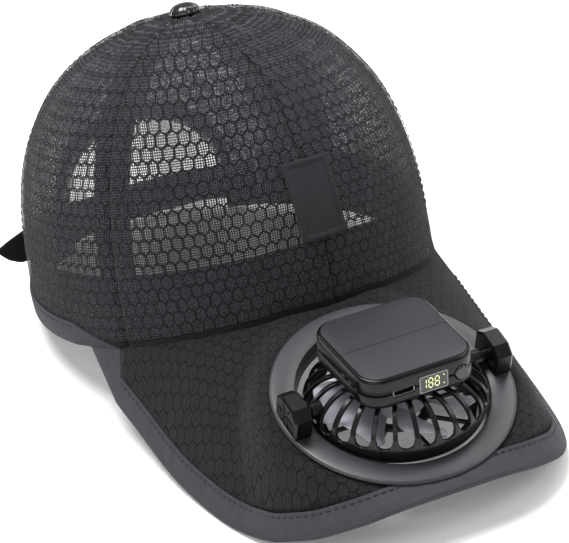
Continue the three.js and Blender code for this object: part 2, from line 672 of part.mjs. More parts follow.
const LEDGE_RADIUS = RING_INNER_RADIUS - LEDGE_WIDTH;
add(ringFrame, "fan_ring", turned([
  [RING_INNER_RADIUS, 0],
  [RING_INNER_RADIUS, LEDGE_THICKNESS - COLLAR_DEPTH],
  [LEDGE_RADIUS, LEDGE_THICKNESS - COLLAR_DEPTH],
  [LEDGE_RADIUS, -COLLAR_DEPTH],
  [COLLAR_RADIUS, -COLLAR_DEPTH],
  [COLLAR_RADIUS, -RING_THICKNESS],
  [RING_RADIUS, -RING_THICKNESS],
  [RING_RADIUS, -RING_THICKNESS * 0.5],
  [RING_RADIUS - RING_THICKNESS * 0.6, 0],
]), GREY_PLASTIC);
const UNDER_RING_TOP = -RING_STAND - PEAK_THICKNESS - BINDING_PROUD - CLEARANCE;
add(ringFrame, "under_ring", turned([
  [COLLAR_RADIUS + CLEARANCE, UNDER_RING_TOP - UNDER_RING_THICKNESS],
  [UNDER_RING_RADIUS, UNDER_RING_TOP - UNDER_RING_THICKNESS],
  [UNDER_RING_RADIUS, UNDER_RING_TOP],
  [COLLAR_RADIUS + CLEARANCE, UNDER_RING_TOP],
], 28), GREY_PLASTIC);

// Posts: blocks with bevelled edges and a blind hole for the axle stub
function postSolid(side) {
  const face = new THREE.Shape();
  const half = POST_DEPTH / 2 - POST_BEVEL;
  const [low, high] = [CLEARANCE + POST_BEVEL, POST_HEIGHT - POST_BEVEL];
  const shoulder = high - POST_DEPTH / 6;
  face.moveTo(-half, low);
  face.lineTo(half, low);
  face.lineTo(half, shoulder);
  face.lineTo(half / 2, high);
  face.lineTo(-half / 2, high);
  face.lineTo(-half, shoulder);
  face.closePath();
  const post = new THREE.ExtrudeGeometry(face, {
    depth: POST_WIDTH - 2 * POST_BEVEL,
    bevelSize: POST_BEVEL,
    bevelThickness: POST_BEVEL,
    bevelSegments: 1,
  });
  post.rotateX(Math.PI / 2).rotateZ(Math.PI / 2);
  post.translate(side > 0 ? POST_INNER_FACE + POST_BEVEL : -POST_INNER_FACE - POST_WIDTH + POST_BEVEL,
    -HINGE_FORWARD, 0);
  const hole = alongX(cylinder(AXLE_RADIUS + AXLE_CLEARANCE, -AXLE_SINK - AXLE_CLEARANCE,
    AXLE_SINK + AXLE_CLEARANCE, 16));
  hole.translate(side * POST_INNER_FACE, -HINGE_FORWARD, HINGE_RISE);
  return cut(post, hole);
}
add(ringFrame, "post_left", postSolid(1), BLACK_PLASTIC);
add(ringFrame, "post_right", postSolid(-1), BLACK_PLASTIC);

// The fan head's own frame, on the axle, with Z up through the case
const headFrame = new THREE.Group();
headFrame.position.set(0, -HINGE_FORWARD, HINGE_RISE);
headFrame.rotation.x = -rad(HEAD_LEAN);
ringFrame.add(headFrame);

// Cage: a ribbed dome. reach: share of its radius. height: share of its top above the axle, or
// below it of its bottom. open: whether slots are cut from this row to the next.
const CAGE_ROWS = [
  { reach: 0.46, height: 1, open: false },
  { reach: 0.58, height: 1, open: true },
  { reach: 0.79, height: 0.76, open: true },
  { reach: 0.95, height: 0.05, open: true },
  { reach: 1, height: -0.44, open: false },
  { reach: 0.93, height: -1, open: false },
];
const SLOT_END_ROW = 4;
const SLOT_END_DROP = 0.08;
const COLUMNS_A_SLOT = 3;
function cagePoint(column, row, inset) {
  const { reach, height } = CAGE_ROWS[row];
  const before = CAGE_ROWS[Math.max(row - 1, 0)];
  const after = CAGE_ROWS[Math.min(row + 1, CAGE_ROWS.length - 1)];
  const level = (share) => share * (share > 0 ? CAGE_TOP : CAGE_BOTTOM);
  const along = new THREE.Vector2((after.reach - before.reach) * CAGE_RADIUS,
    level(after.height) - level(before.height)).normalize();
  const slot = Math.floor(column / COLUMNS_A_SLOT);
  const place = column % COLUMNS_A_SLOT;
  const radius = reach * CAGE_RADIUS + along.y * inset;
  const half = deg(RIB_WIDTH / 2 / radius);
  const pitch = 360 / CAGE_SLOTS;
  const angle = slot * pitch + [-half, half, pitch / 2][place];
  const isSlotEnd = row === SLOT_END_ROW && place === 2;
  const z = level(height) - along.x * inset - (isSlotEnd ? SLOT_END_DROP * CAGE_BOTTOM : 0);
  return vec(radius * Math.cos(rad(angle)), radius * Math.sin(rad(angle)), z);
}
const cageShell = shellSolid({
  columns: CAGE_SLOTS * COLUMNS_A_SLOT,
  rows: CAGE_ROWS.length - 1,
  outer: (i, j) => cagePoint(i, j, 0),
  inner: (i, j) => cagePoint(i, j, CAGE_WALL),
  round: true,
  keep: (i, j) => i % COLUMNS_A_SLOT === 0 || !CAGE_ROWS[j].open,
});
const axleStub = (side) => alongX(turned([
  [0, CAGE_RADIUS - CAGE_WALL * 3],
  [BOSS_RADIUS, CAGE_RADIUS - CAGE_WALL * 3],
  [BOSS_RADIUS, CAGE_RADIUS + BOSS_PROUD],
  [AXLE_RADIUS, CAGE_RADIUS + BOSS_PROUD],
  [AXLE_RADIUS, POST_INNER_FACE + AXLE_SINK],
  [0, POST_INNER_FACE + AXLE_SINK],
], 12)).rotateZ(side > 0 ? 0 : Math.PI);
add(headFrame, "cage", join(cageShell, axleStub(1), axleStub(-1)), BLACK_PLASTIC);

// Lower grille: a disc of two rings and spokes inside the cage's bottom edge
const GRILLE_RINGS = [0.3, 0.42, 0.9, 1];
const GRILLE_TOP = GRILLE_THICKNESS - CAGE_BOTTOM;
const grilleReach = CAGE_RADIUS * CAGE_ROWS.at(-1).reach - CAGE_WALL - CLEARANCE;
function grillePoint(column, row, z) {
  const radius = GRILLE_RINGS[row] * grilleReach;
  const half = deg(GRILLE_BAR / 2 / radius);
  const pitch = 360 / GRILLE_SPOKES;
  const angle = Math.floor(column / 3) * pitch + [-half, half, pitch / 2][column % 3];
  return vec(radius * Math.cos(rad(angle)), radius * Math.sin(rad(angle)), z);
}
add(headFrame, "lower_grille", shellSolid({
  columns: GRILLE_SPOKES * 3,
  rows: GRILLE_RINGS.length - 1,
  outer: (i, j) => grillePoint(i, j, GRILLE_TOP),
  inner: (i, j) => grillePoint(i, j, GRILLE_TOP - GRILLE_THICKNESS),
  round: true,
  keep: (i, j) => i % 3 === 0 || j % 2 === 0,
}), BLACK_PLASTIC);

// Case: two rounded blocks with a fine parting line between them, and pockets in the front face
const CASE_BOTTOM = CAGE_TOP + CLEARANCE;
const CASE_TOP = CASE_BOTTOM + CASE_HEIGHT;
function roundedSlab(width, depth, corner, low, high, bevel, bevelSteps = 1) {
  const [x, y] = [width / 2 - bevel, depth / 2 - bevel];
  const r = corner - bevel;
  const outline = new THREE.Shape();
  outline.moveTo(-x + r, -y);
  outline.lineTo(x - r, -y);
  outline.absarc(x - r, -y + r, r, -Math.PI / 2, 0);
  outline.absarc(x - r, y - r, r, 0, Math.PI / 2);
  outline.absarc(-x + r, y - r, r, Math.PI / 2, Math.PI);
  outline.absarc(-x + r, -y + r, r, Math.PI, Math.PI * 1.5);
  return new THREE.ExtrudeGeometry(outline, {
    depth: high - low - 2 * bevel,
    bevelEnabled: bevel > 0,
    bevelSize: bevel,
    bevelThickness: bevel,
    bevelSegments: bevelSteps,
    curveSegments: 5,
  }).translate(0, 0, low + bevel);
}
const block = (width, depth, height, x, y, z) => new THREE.BoxGeometry(width, depth, height)
  .translate(x, y, z);
const frontRod = (radius, from, to, x, z, sides = 20) => cylinder(radius, from, to, sides)
  .rotateX(Math.PI / 2).translate(x, 0, z);
const CASE_FRONT = -CASE_DEPTH / 2;
const CASE_MIDDLE = CASE_BOTTOM + CASE_SPLIT;
const pocketTools = [
  block(PORT_WIDTH + CLEARANCE, PORT_DEPTH * 2, PORT_HEIGHT + CLEARANCE, PORT_SIDE, CASE_FRONT, CASE_MIDDLE),
  block(DISPLAY_WIDTH + CLEARANCE * 2, DISPLAY_THICKNESS * 2, DISPLAY_HEIGHT + CLEARANCE * 2, DISPLAY_SIDE,
    CASE_FRONT, CASE_MIDDLE),
  frontRod(PUSH_RADIUS + CLEARANCE, -CASE_FRONT - PUSH_LENGTH - PUSH_TRAVEL + PUSH_PROUD - CLEARANCE,
    -CASE_FRONT + 2, PUSH_SIDE, CASE_MIDDLE),
];
const shell = roundedSlab(CASE_WIDTH, CASE_DEPTH, CASE_CORNER, CASE_BOTTOM, CASE_TOP, CASE_BEVEL, 2);
const below = block(CASE_WIDTH * 2, CASE_DEPTH * 2, CASE_HEIGHT * 2, 0, 0,
  CASE_MIDDLE - CASE_HEIGHT + CLEARANCE / 2);
const above = block(CASE_WIDTH * 2, CASE_DEPTH * 2, CASE_HEIGHT * 2, 0, 0,
  CASE_MIDDLE + CASE_HEIGHT - CLEARANCE / 2);
const solarSize = CASE_WIDTH - 2 * SOLAR_MARGIN;
const solarDepth = CASE_DEPTH - 2 * SOLAR_MARGIN;
const solarLow = CASE_TOP + SOLAR_PROUD - SOLAR_THICKNESS;
const solarPocket = roundedSlab(solarSize + CLEARANCE * 2, solarDepth + CLEARANCE * 2,
  CASE_CORNER - SOLAR_MARGIN + CLEARANCE, solarLow - CLEARANCE, CASE_TOP + 2, 0);
add(headFrame, "case_base", cut(shell, above, ...pocketTools), BLACK_PLASTIC);
add(headFrame, "case_lid", cut(shell, below, ...pocketTools, solarPocket), BLACK_PLASTIC);
add(headFrame, "solar_panel", roundedSlab(solarSize, solarDepth, CASE_CORNER - SOLAR_MARGIN, solarLow,
  CASE_TOP + SOLAR_PROUD, SOLAR_PROUD / 2), SOLAR_GLASS);
add(headFrame, "display", block(DISPLAY_WIDTH, DISPLAY_THICKNESS, DISPLAY_HEIGHT, DISPLAY_SIDE,
  CASE_FRONT + DISPLAY_THICKNESS / 2 - DISPLAY_PROUD, CASE_MIDDLE), DISPLAY_GLASS);
const socketOuter = block(PORT_WIDTH, PORT_DEPTH - CLEARANCE, PORT_HEIGHT, PORT_SIDE,
  CASE_FRONT + PORT_DEPTH / 2, CASE_MIDDLE);
const socketInner = block(PORT_WIDTH - 2 * PORT_WALL, PORT_DEPTH, PORT_HEIGHT - 2 * PORT_WALL, PORT_SIDE,
  CASE_FRONT + PORT_DEPTH / 2 - PORT_WALL - CLEARANCE, CASE_MIDDLE);
add(headFrame, "usb_socket", cut(socketOuter, socketInner), SOCKET_METAL);
add(headFrame, "power_button", frontRod(PUSH_RADIUS, -CASE_FRONT - PUSH_LENGTH + PUSH_PROUD,
  -CASE_FRONT + PUSH_PROUD, PUSH_SIDE, CASE_MIDDLE), BLACK_PLASTIC);

// Motor under the case, with a blind bore for the fan wheel's shaft
const MOTOR_LOW = CASE_BOTTOM - CLEARANCE - MOTOR_HEIGHT;
const BORE_RADIUS = SHAFT_RADIUS + SHAFT_CLEARANCE;
add(headFrame, "motor", turned([
  [0, MOTOR_LOW + SHAFT_LENGTH + CLEARANCE],
  [BORE_RADIUS, MOTOR_LOW + SHAFT_LENGTH + CLEARANCE],
  [BORE_RADIUS, MOTOR_LOW],
  [MOTOR_RADIUS, MOTOR_LOW],
  [MOTOR_RADIUS, MOTOR_LOW + MOTOR_HEIGHT],
  [0, MOTOR_LOW + MOTOR_HEIGHT],
], 20), BLACK_PLASTIC);

// Fan wheel: hub and shaft joined to curved blades
const HUB_TOP = MOTOR_LOW - CLEARANCE;
function bladeSolid(index) {
  const [columns, rows] = [3, 2];
  const point = (i, j, lift) => {
    const radius = mix(HUB_RADIUS - BLADE_SINK, BLADE_RADIUS, i / columns);
    const swept = mix(-0.5, 0.5, j / rows) * BLADE_SWEEP + BLADE_LEAN * i / columns;
    const angle = index * 360 / BLADE_COUNT + swept;
    const z = mix(HUB_TOP - BLADE_THICKNESS, HUB_TOP - HUB_HEIGHT + BLADE_THICKNESS / 2, j / rows) + lift;
    return vec(radius * Math.cos(rad(angle)), radius * Math.sin(rad(angle)), z);
  };
  return shellSolid({
    columns,
    rows,
    outer: (i, j) => point(i, j, BLADE_THICKNESS / 2),
    inner: (i, j) => point(i, j, -BLADE_THICKNESS / 2),
  });
}
const hub = turned([
  [0, HUB_TOP - HUB_HEIGHT],
  [HUB_RADIUS, HUB_TOP - HUB_HEIGHT],
  [HUB_RADIUS, HUB_TOP],
  [SHAFT_RADIUS, HUB_TOP],
  [SHAFT_RADIUS, HUB_TOP + SHAFT_LENGTH],
  [0, HUB_TOP + SHAFT_LENGTH],
], 20);
const bladeSolids = steps(0, BLADE_COUNT - 1, BLADE_COUNT - 1).map(bladeSolid);
add(headFrame, "rotor", join(hub, ...bladeSolids), BLADE_PLASTIC);

// Rest pose: the cap leans back until its peak's corners and the rim beside the opening touch one
// floor, then the origin goes to the middle of its footprint
const binding = cap.getObjectByName("edge_binding").geometry.attributes.position;
const bindingPoints = steps(0, binding.count - 1, binding.count - 1)
  .map((k) => new THREE.Vector3().fromBufferAttribute(binding, Math.round(k)));
const lowestOf = (points, pitch) => Math.min(...points.map((point) => point.z * Math.cos(pitch)
  - point.y * Math.sin(pitch)));
const frontPoints = bindingPoints.filter((point) => point.y < -CROWN_FRONT);
const backPoints = bindingPoints.filter((point) => point.y > 0);
let [lowPitch, highPitch] = [0, Math.PI / 4];
for (let attempt = 0; attempt < 40; attempt += 1) {
  const middle = (lowPitch + highPitch) / 2;
  if (lowestOf(frontPoints, middle) < lowestOf(backPoints, middle)) {
    lowPitch = middle;
  } else {
    highPitch = middle;
  }
}
cap.rotation.x = -lowPitch;
const hat = new THREE.Group();
hat.add(cap);
hat.updateMatrixWorld(true);
const box = new THREE.Box3().setFromObject(hat, true);
const centre = box.getCenter(new THREE.Vector3());
cap.position.set(-centre.x, -centre.y, -box.min.z);
hat.updateMatrixWorld(true);

export default hat;
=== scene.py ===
import json
import math

import bmesh
import bpy
import numpy as np
from mathutils import Matrix, Vector


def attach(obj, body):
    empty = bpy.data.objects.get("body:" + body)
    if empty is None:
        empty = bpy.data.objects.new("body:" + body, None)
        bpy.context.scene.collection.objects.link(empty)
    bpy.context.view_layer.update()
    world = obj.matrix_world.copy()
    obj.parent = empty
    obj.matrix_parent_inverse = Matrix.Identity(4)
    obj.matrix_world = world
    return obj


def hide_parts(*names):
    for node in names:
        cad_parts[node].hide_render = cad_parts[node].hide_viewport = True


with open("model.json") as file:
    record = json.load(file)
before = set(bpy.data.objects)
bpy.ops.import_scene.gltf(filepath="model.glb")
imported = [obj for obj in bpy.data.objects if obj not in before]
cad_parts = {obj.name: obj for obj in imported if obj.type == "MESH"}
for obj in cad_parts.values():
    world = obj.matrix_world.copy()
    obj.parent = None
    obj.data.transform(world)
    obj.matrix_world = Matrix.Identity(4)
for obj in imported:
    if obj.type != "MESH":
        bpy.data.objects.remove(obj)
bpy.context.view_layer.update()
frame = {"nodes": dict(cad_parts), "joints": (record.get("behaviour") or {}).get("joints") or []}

MM = 0.001

# Crown
CROWN_HALF_WIDTH = 82
CROWN_FRONT = 104.4
CROWN_BACK = 99.5
CROWN_HEIGHT = 110.75
CROWN_WALL_POWER = 0.7
CROWN_TOP_POWER = 0.909
BUTTON_FORWARD = 9.8
BUTTON_FORWARD_POWER = 1.5
WALL_FORWARD = 1.6
RIM_BACK_RISE = 3.3
RIM_LEVEL_TURN = 150
PANEL_PUFF = 1.6
CROWN_CLOTH = 1.2
SEAM_TURNS = (0, 58.6, 120, 180)
FRONT_SEAM_DRIFT = 1.8
PANEL_TOP = 0.985
SEAM_GAP = 0.3
SEAM_GROOVE = 0.7
SEAM_GROOVE_REACH = 1.8
ROOT_GROOVE = 0.5
TAPE_WIDTH = 16
TAPE_THICKNESS = 0.6
SWEATBAND_HEIGHT = 27
SWEATBAND_INSET = 2.4
SWEATBAND_THICKNESS = 1.2
SWEATBAND_END_TURN = 140

# Peak and bindings
PEAK_SLOPE = 32.9
PEAK_ARCH_RADIUS = 91.6
PEAK_ARCH_MARGIN = 3.9
PEAK_HALF_WIDTH = 79
PEAK_BEYOND_RING = 3.8
PEAK_THICKNESS = 2.2
PEAK_ROOT_TURN = 71
RIM_BINDING_WIDTH = 8
PEAK_BINDING_WIDTH = 10
BINDING_PROUD = 0.5
BINDING_FOLD = 0.9
BINDING_INNER_TURN = 61
BINDING_LEVEL_TURN = 78
BINDING_END_SHARE = 0.053

# Opening, strap, patch and button
OPENING_HALF_WIDTH = 38
OPENING_HEIGHT = 52
OPENING_TAPE_WIDTH = 6
STRAP_HEIGHT = 16
STRAP_ABOVE_RIM = 5
STRAP_THICKNESS = 1.2
PATCH_WIDTH = 19
PATCH_LOW = 28.4
PATCH_HIGH = 59.9
PATCH_THICKNESS = 1
PATCH_BORDER = 1.7
BUTTON_RADIUS = 6.8
BUTTON_HEIGHT = 4.6

# Fan
RING_FORWARD = 148.1
RING_RADIUS = 47.8
FLAT_MARGIN = 0.8
BEND_MARGIN = 13.6
RING_INNER_RADIUS = 37.9
RING_THICKNESS = 1.5
RING_STAND = 2.3
COLLAR_WALL = 1.8
COLLAR_DEPTH = 6.9
LEDGE_WIDTH = 1.2
LEDGE_THICKNESS = 1.6
HINGE_FORWARD = 0.8
HINGE_RISE = 4.2
HEAD_LEAN = 13.5
POST_INNER_FACE = 39.4
POST_WIDTH = 7.6
POST_HEIGHT = 12.5
AXLE_RADIUS = 2.75
AXLE_SINK = 4
CAGE_RADIUS = 36
CAGE_TOP = 7.5
CAGE_BOTTOM = 13.4
CAGE_WALL = 1.5
CAGE_SLOTS = 26
RIB_WIDTH = 1.9
CASE_WIDTH = 48.3
CASE_DEPTH = 48.6
CASE_HEIGHT = 13.2
CASE_CORNER = 9.5
CASE_SPLIT = 6.3
SOLAR_MARGIN = 1.5
SOLAR_THICKNESS = 1.2
SOLAR_PROUD = 0.5
PORT_SIDE = -8.4
PORT_WIDTH = 9.4
PORT_HEIGHT = 3.4
PORT_DEPTH = 6
DISPLAY_SIDE = 4.1
DISPLAY_WIDTH = 12.2
DISPLAY_HEIGHT = 7.4
PUSH_SIDE = 16.2
PUSH_RADIUS = 3
PUSH_PROUD = 0.7
MOTOR_HEIGHT = 7.4
HUB_RADIUS = 12
HUB_HEIGHT = 8
BLADE_COUNT = 7
BLADE_RADIUS = 31.5
BLADE_SWEEP = 40
CLEARANCE = 0.3

# Worked out from the sizes above
SLOPE_COS = math.cos(math.radians(PEAK_SLOPE))
SLOPE_TAN = math.tan(math.radians(PEAK_SLOPE))
PEAK_REACH = RING_FORWARD - CROWN_FRONT + RING_RADIUS * SLOPE_COS + PEAK_BEYOND_RING
PEAK_ARCH_SPAN = max(PEAK_HALF_WIDTH, CROWN_HALF_WIDTH) + PEAK_ARCH_MARGIN
COLLAR_RADIUS = RING_INNER_RADIUS + COLLAR_WALL
LEDGE_RADIUS = RING_INNER_RADIUS - LEDGE_WIDTH
SIDES = {"left": 1, "right": -1}

# Camera, from the photograph: angles in degrees, and the point that it aims at in the cap's frame
CAMERA_AZIMUTH = -23.79
CAMERA_ELEVATION = 29.54
CAMERA_ROLL = -4.83
CAMERA_DISTANCE = 1367
CAMERA_LENS = 211.4
CAMERA_AIM = (4.22, -50.87, 4.46)


def rotation_x(angle):
    return np.array(Matrix.Rotation(math.radians(angle), 3, "X"))


def ease(share):
    share = np.clip(share, 0, 1)
    return share * share * (3 - 2 * share)


def mix(low, high, share):
    return low + (high - low) * share


def unit(vectors):
    return vectors / np.linalg.norm(vectors, axis=-1, keepdims=True)


def same_shape(*values):
    return np.broadcast_arrays(*(np.asarray(value, float) for value in values))


# Peak: a slope with an arch across it, flat round the fan ring
def peak_height(x, y):
    away = np.hypot(x, (y + RING_FORWARD) / SLOPE_COS)
    flat, bent = RING_RADIUS + FLAT_MARGIN, PEAK_HALF_WIDTH - BEND_MARGIN
    bend = ease((away - flat) / (bent - flat))
    drop = PEAK_ARCH_RADIUS * (1 - np.sqrt(1 - np.square(x / PEAK_ARCH_SPAN)))
    return SLOPE_TAN * (CROWN_FRONT + y) - drop * bend


def peak_face(x, y, proud=0.0):
    """Points on the peak's upper face, or proud of it."""
    x, y, proud = same_shape(x, y, proud)
    step = 0.5
    slope_x = (peak_height(x + step, y) - peak_height(x - step, y)) / (2 * step)
    slope_y = (peak_height(x, y + step) - peak_height(x, y - step)) / (2 * step)
    normal = unit(np.stack([-slope_x, -slope_y, np.ones_like(x)], -1))
    return np.stack([x, y, peak_height(x, y)], -1) + normal * proud[..., None]


# The cap's frame, the ring's and the fan head's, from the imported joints
joints = {joint["name"]: joint for joint in frame["joints"]}
head_origin = np.array(joints["fan_tilt"]["pos_m"]) / MM
spin_axis = joints["rotor_spin"]["axis"]
head_turn = rotation_x(math.degrees(math.atan2(-spin_axis[1], spin_axis[2])))
ring_turn = head_turn @ rotation_x(HEAD_LEAN)
ring_origin = head_origin - ring_turn @ np.array([0, -HINGE_FORWARD, HINGE_RISE])
cap_turn = ring_turn @ rotation_x(-PEAK_SLOPE)
cap_origin = ring_origin - cap_turn @ peak_face(0, -RING_FORWARD, RING_STAND)
CAP = (cap_turn, cap_origin)
RING = (ring_turn, ring_origin)
HEAD = (head_turn, head_origin)


def place(points, where):
    """Points in millimetres in one of those frames, as points in metres on the model."""
    turn, origin = where
    return (np.asarray(points, float) @ turn.T + origin) * MM


# What a part's own Z becomes: the hinge's line, into the case's front, or out of it
TO_SIDE = ((0, 1, 0), (0, 0, 1), (1, 0, 0))
INTO_FRONT = ((1, 0, 0), (0, 0, 1), (0, 1, 0))
OUT_OF_FRONT = ((1, 0, 0), (0, 0, 1), (0, -1, 0))


# Crown: turn is in degrees round from the front, rise goes from 0 at the rim to 1 at the top
def from_front(turn):
    """A turn's size to either side, from 0 in front to 180 behind."""
    return np.abs((turn + 540) % 360 - 180)


def height_share(rise):
    return np.sin(rise * math.pi / 2) ** CROWN_WALL_POWER


def reach_share(rise):
    return np.cos(rise * math.pi / 2) ** CROWN_TOP_POWER


def rim_height(turn):
    """The rim's height: along the peak's root in front, and level behind."""
    angle = from_front(turn)
    root = np.radians(np.minimum(angle, PEAK_ROOT_TURN))
    front = peak_height(CROWN_HALF_WIDTH * np.sin(root), -CROWN_FRONT * np.cos(root))
    return mix(front, RIM_BACK_RISE, ease((angle - PEAK_ROOT_TURN) / (RIM_LEVEL_TURN - PEAK_ROOT_TURN)))


def panel_share(turn):
    """How far across its panel a turn lies, from 0 at one seam to 1 at the next."""
    return np.interp(from_front(turn), SEAM_TURNS, range(len(SEAM_TURNS))) % 1


def crown_face(turn, rise):
    """Points on the crown's outer face: round walls under a flatter top, with a puff between seams."""
    height, reach = height_share(rise), reach_share(rise)
    angle = np.radians(turn)
    depth = np.where(np.cos(angle) > 0, CROWN_FRONT, CROWN_BACK)
    puff = PANEL_PUFF * np.sin(math.pi * panel_share(turn)) * np.sin(math.pi * rise)
    shift = BUTTON_FORWARD * height ** BUTTON_FORWARD_POWER + WALL_FORWARD * 4 * height * (1 - height)
    return np.stack([
        (CROWN_HALF_WIDTH + puff) * reach * np.sin(angle),
        -shift - (depth + puff) * reach * np.cos(angle),
        CROWN_HEIGHT * height + rim_height(turn) * (1 - height) ** 2,
    ], -1)


def crown_point(turn, rise, proud=0.0):
    """Points on the crown's outer face, or proud of it."""
    turn, rise, proud = same_shape(turn, rise, proud)
    turn_step, rise_step = 0.2, 0.002
    across = crown_face(turn + turn_step, rise) - crown_face(turn - turn_step, rise)
    up = crown_face(turn, np.minimum(rise + rise_step, 1)) - crown_face(turn, np.maximum(rise - rise_step, 0))
    normal = unit(np.cross(across, up))
    return crown_face(turn, rise) + normal * proud[..., None]


def rise_at(height):
    """The rise at a height above the rim, in millimetres."""
    return np.arcsin((np.asarray(height, float) / CROWN_HEIGHT) ** (1 / CROWN_WALL_POWER)) * 2 / math.pi


def crown_reach(rise):
    """The crown's half width at a rise, in millimetres."""
    return CROWN_HALF_WIDTH * reach_share(np.asarray(rise))


def seam_turn(index, rise):
    drift = FRONT_SEAM_DRIFT * (1 - rise) ** 2 if index == 0 else 0 * rise
    return SEAM_TURNS[index] + drift


def binding_height(turn):
    """How high the binding covers the rim. It runs out where the peak's root begins."""
    share = (np.abs(turn) - BINDING_INNER_TURN) / (BINDING_LEVEL_TURN - BINDING_INNER_TURN)
    return RIM_BINDING_WIDTH * np.clip(share, 0, 1)


OPENING_TURN = 180 - math.degrees(math.asin(OPENING_HALF_WIDTH / CROWN_HALF_WIDTH))
OPENING_TOP = float(rise_at(OPENING_HEIGHT))
ARCH_POWER = 2.4


def opening_turn(rise):
    """Where the arched opening behind begins."""
    share = np.clip(rise / OPENING_TOP, 0, 1)
    return 180 - (180 - OPENING_TURN) * np.sqrt(1 - share ** ARCH_POWER)


# Meshes from numbers
def mesh_object(name, points, faces, uvs=None, smooth=True):
    """A mesh object from points in metres, faces, and a UV pair for each point, in millimetres."""
    mesh = bpy.data.meshes.new(name)
    mesh.from_pydata([tuple(map(float, p)) for p in points], [], [list(map(int, f)) for f in faces])
    mesh.update()
    if uvs is not None:
        layer = mesh.uv_layers.new(name="cloth")
        corner = np.zeros(len(mesh.loops), int)
        mesh.loops.foreach_get("vertex_index", corner)
        layer.data.foreach_set("uv", np.asarray(uvs, float)[corner].ravel())
    mesh.polygons.foreach_set("use_smooth", [smooth] * len(mesh.polygons))
    made = bpy.data.objects.new(name, mesh)
    bpy.context.scene.collection.objects.link(made)
    return made


def grid_shell(name, outer, inner, where, uvs=None, wrap=False, keep=None):
    """A closed shell between two grids of points (columns, rows, 3). Cells outside keep are open."""
    columns, rows = outer.shape[0], outer.shape[1]
    cells_across = columns if wrap else columns - 1
    open_cells = np.ones((cells_across, rows - 1), bool) if keep is None else keep
    start = columns * rows
    faces = []

    def at(i, j):
        return (i % columns) * rows + j

    def kept(i, j):
        i = i % columns if wrap else i
        return 0 <= i < cells_across and 0 <= j < rows - 1 and open_cells[i, j]

    for i in range(cells_across):
        for j in range(rows - 1):
            if not kept(i, j):
                continue
            a, b, c, d = at(i, j), at(i + 1, j), at(i + 1, j + 1), at(i, j + 1)
            faces.append((a, b, c, d))
            faces.append((d + start, c + start, b + start, a + start))
            sides = (((i, j - 1), a, b), ((i + 1, j), b, c), ((i, j + 1), c, d), ((i - 1, j), d, a))
            faces.extend((q, p, p + start, q + start) for near, p, q in sides if not kept(*near))
    used = sorted({index for face in faces for index in face})
    number = {index: k for k, index in enumerate(used)}
    points = np.concatenate([outer.reshape(-1, 3), inner.reshape(-1, 3)])[used]
    flat = None
    if uvs is not None:
        flat = np.concatenate([uvs.reshape(-1, 2)] * 2)[used]
    faces = [[number[index] for index in face] for face in faces]
    made = mesh_object(name, place(points, where), faces, flat)
    face_out(made)
    return made


def face_out(made):
    """Turns every face outwards, by the sign of the closed mesh's volume."""
    mesh = made.data
    mesh.calc_loop_triangles()
    points = np.zeros(len(mesh.vertices) * 3)
    mesh.vertices.foreach_get("co", points)
    points = points.reshape(-1, 3)
    triangles = np.zeros(len(mesh.loop_triangles) * 3, int)
    mesh.loop_triangles.foreach_get("vertices", triangles)
    a, b, c = points[triangles.reshape(-1, 3)].transpose(1, 0, 2)
    if np.einsum("ij,ij->i", a, np.cross(b, c)).sum() < 0:
        mesh.flip_normals()


def swept(name, sections, where, closed=False, uvs=None):
    """A strip swept through sections (stations, corners, 3), with its ends closed."""
    stations, corners = sections.shape[0], sections.shape[1]
    faces = []
    for s in range(stations if closed else stations - 1):
        following = (s + 1) % stations
        for k in range(corners):
            beside = (k + 1) % corners
            faces.append((s * corners + k, s * corners + beside, following * corners + beside,
                          following * corners + k))
    if not closed:
        faces.append(tuple(range(corners - 1, -1, -1)))
        faces.append(tuple((stations - 1) * corners + k for k in range(corners)))
    flat = None if uvs is None else uvs.reshape(-1, 2)
    made = mesh_object(name, place(sections.reshape(-1, 3), where), faces, flat)
    face_out(made)
    return made


def lathe(name, profile, where, sides=96, axis_to=None):
    """A round solid about Z from a closed profile of (radius, height) pairs."""
    profile = np.array(profile, float)
    angles = np.linspace(0, 2 * math.pi, sides, endpoint=False)
    rings = np.stack([
        np.cos(angles)[:, None] * profile[None, :, 0],
        np.sin(angles)[:, None] * profile[None, :, 0],
        np.repeat(profile[None, :, 1], sides, 0),
    ], -1)
    if axis_to is not None:
        rings = rings @ np.array(axis_to, float)
    made = swept(name, rings, where, closed=True)
    merge_points(made)
    return made


def add_meshes(made, others):
    """Adds other objects' meshes to one object's, and removes those objects."""
    work = bmesh.new()
    for part in (made, *others):
        work.from_mesh(part.data)
    work.to_mesh(made.data)
    work.free()
    for other in others:
        bpy.data.objects.remove(other)


def merge_points(made, distance=1e-6):
    work = bmesh.new()
    work.from_mesh(made.data)
    bmesh.ops.remove_doubles(work, verts=work.verts, dist=distance)
    bmesh.ops.dissolve_degenerate(work, edges=work.edges, dist=distance)
    work.to_mesh(made.data)
    work.free()


def sharpen(made, angle=35):
    """Keeps edges steeper than an angle crisp under smooth shading."""
    made.data.set_sharp_from_angle(angle=math.radians(angle))


def soften(made, width, segments=3, angle=35):
    """Rounds a hard part's edges with a bevel of a width in millimetres."""
    bevel = made.modifiers.new("rounded edges", "BEVEL")
    bevel.width = width * MM
    bevel.segments = segments
    bevel.limit_method = "ANGLE"
    bevel.angle_limit = math.radians(angle)
    bevel.harden_normals = True


def carve(made, cutters):
    """Cuts closed meshes out of an object and removes them."""
    for cutter in cutters:
        cut = made.modifiers.new("cut", "BOOLEAN")
        cut.operation = "DIFFERENCE"
        cut.solver = "EXACT"
        cut.object = cutter
    bpy.context.view_layer.update()
    evaluated = made.evaluated_get(bpy.context.evaluated_depsgraph_get())
    result = bpy.data.meshes.new_from_object(evaluated)
    made.modifiers.clear()
    made.data = result
    for cutter in cutters:
        bpy.data.objects.remove(cutter)


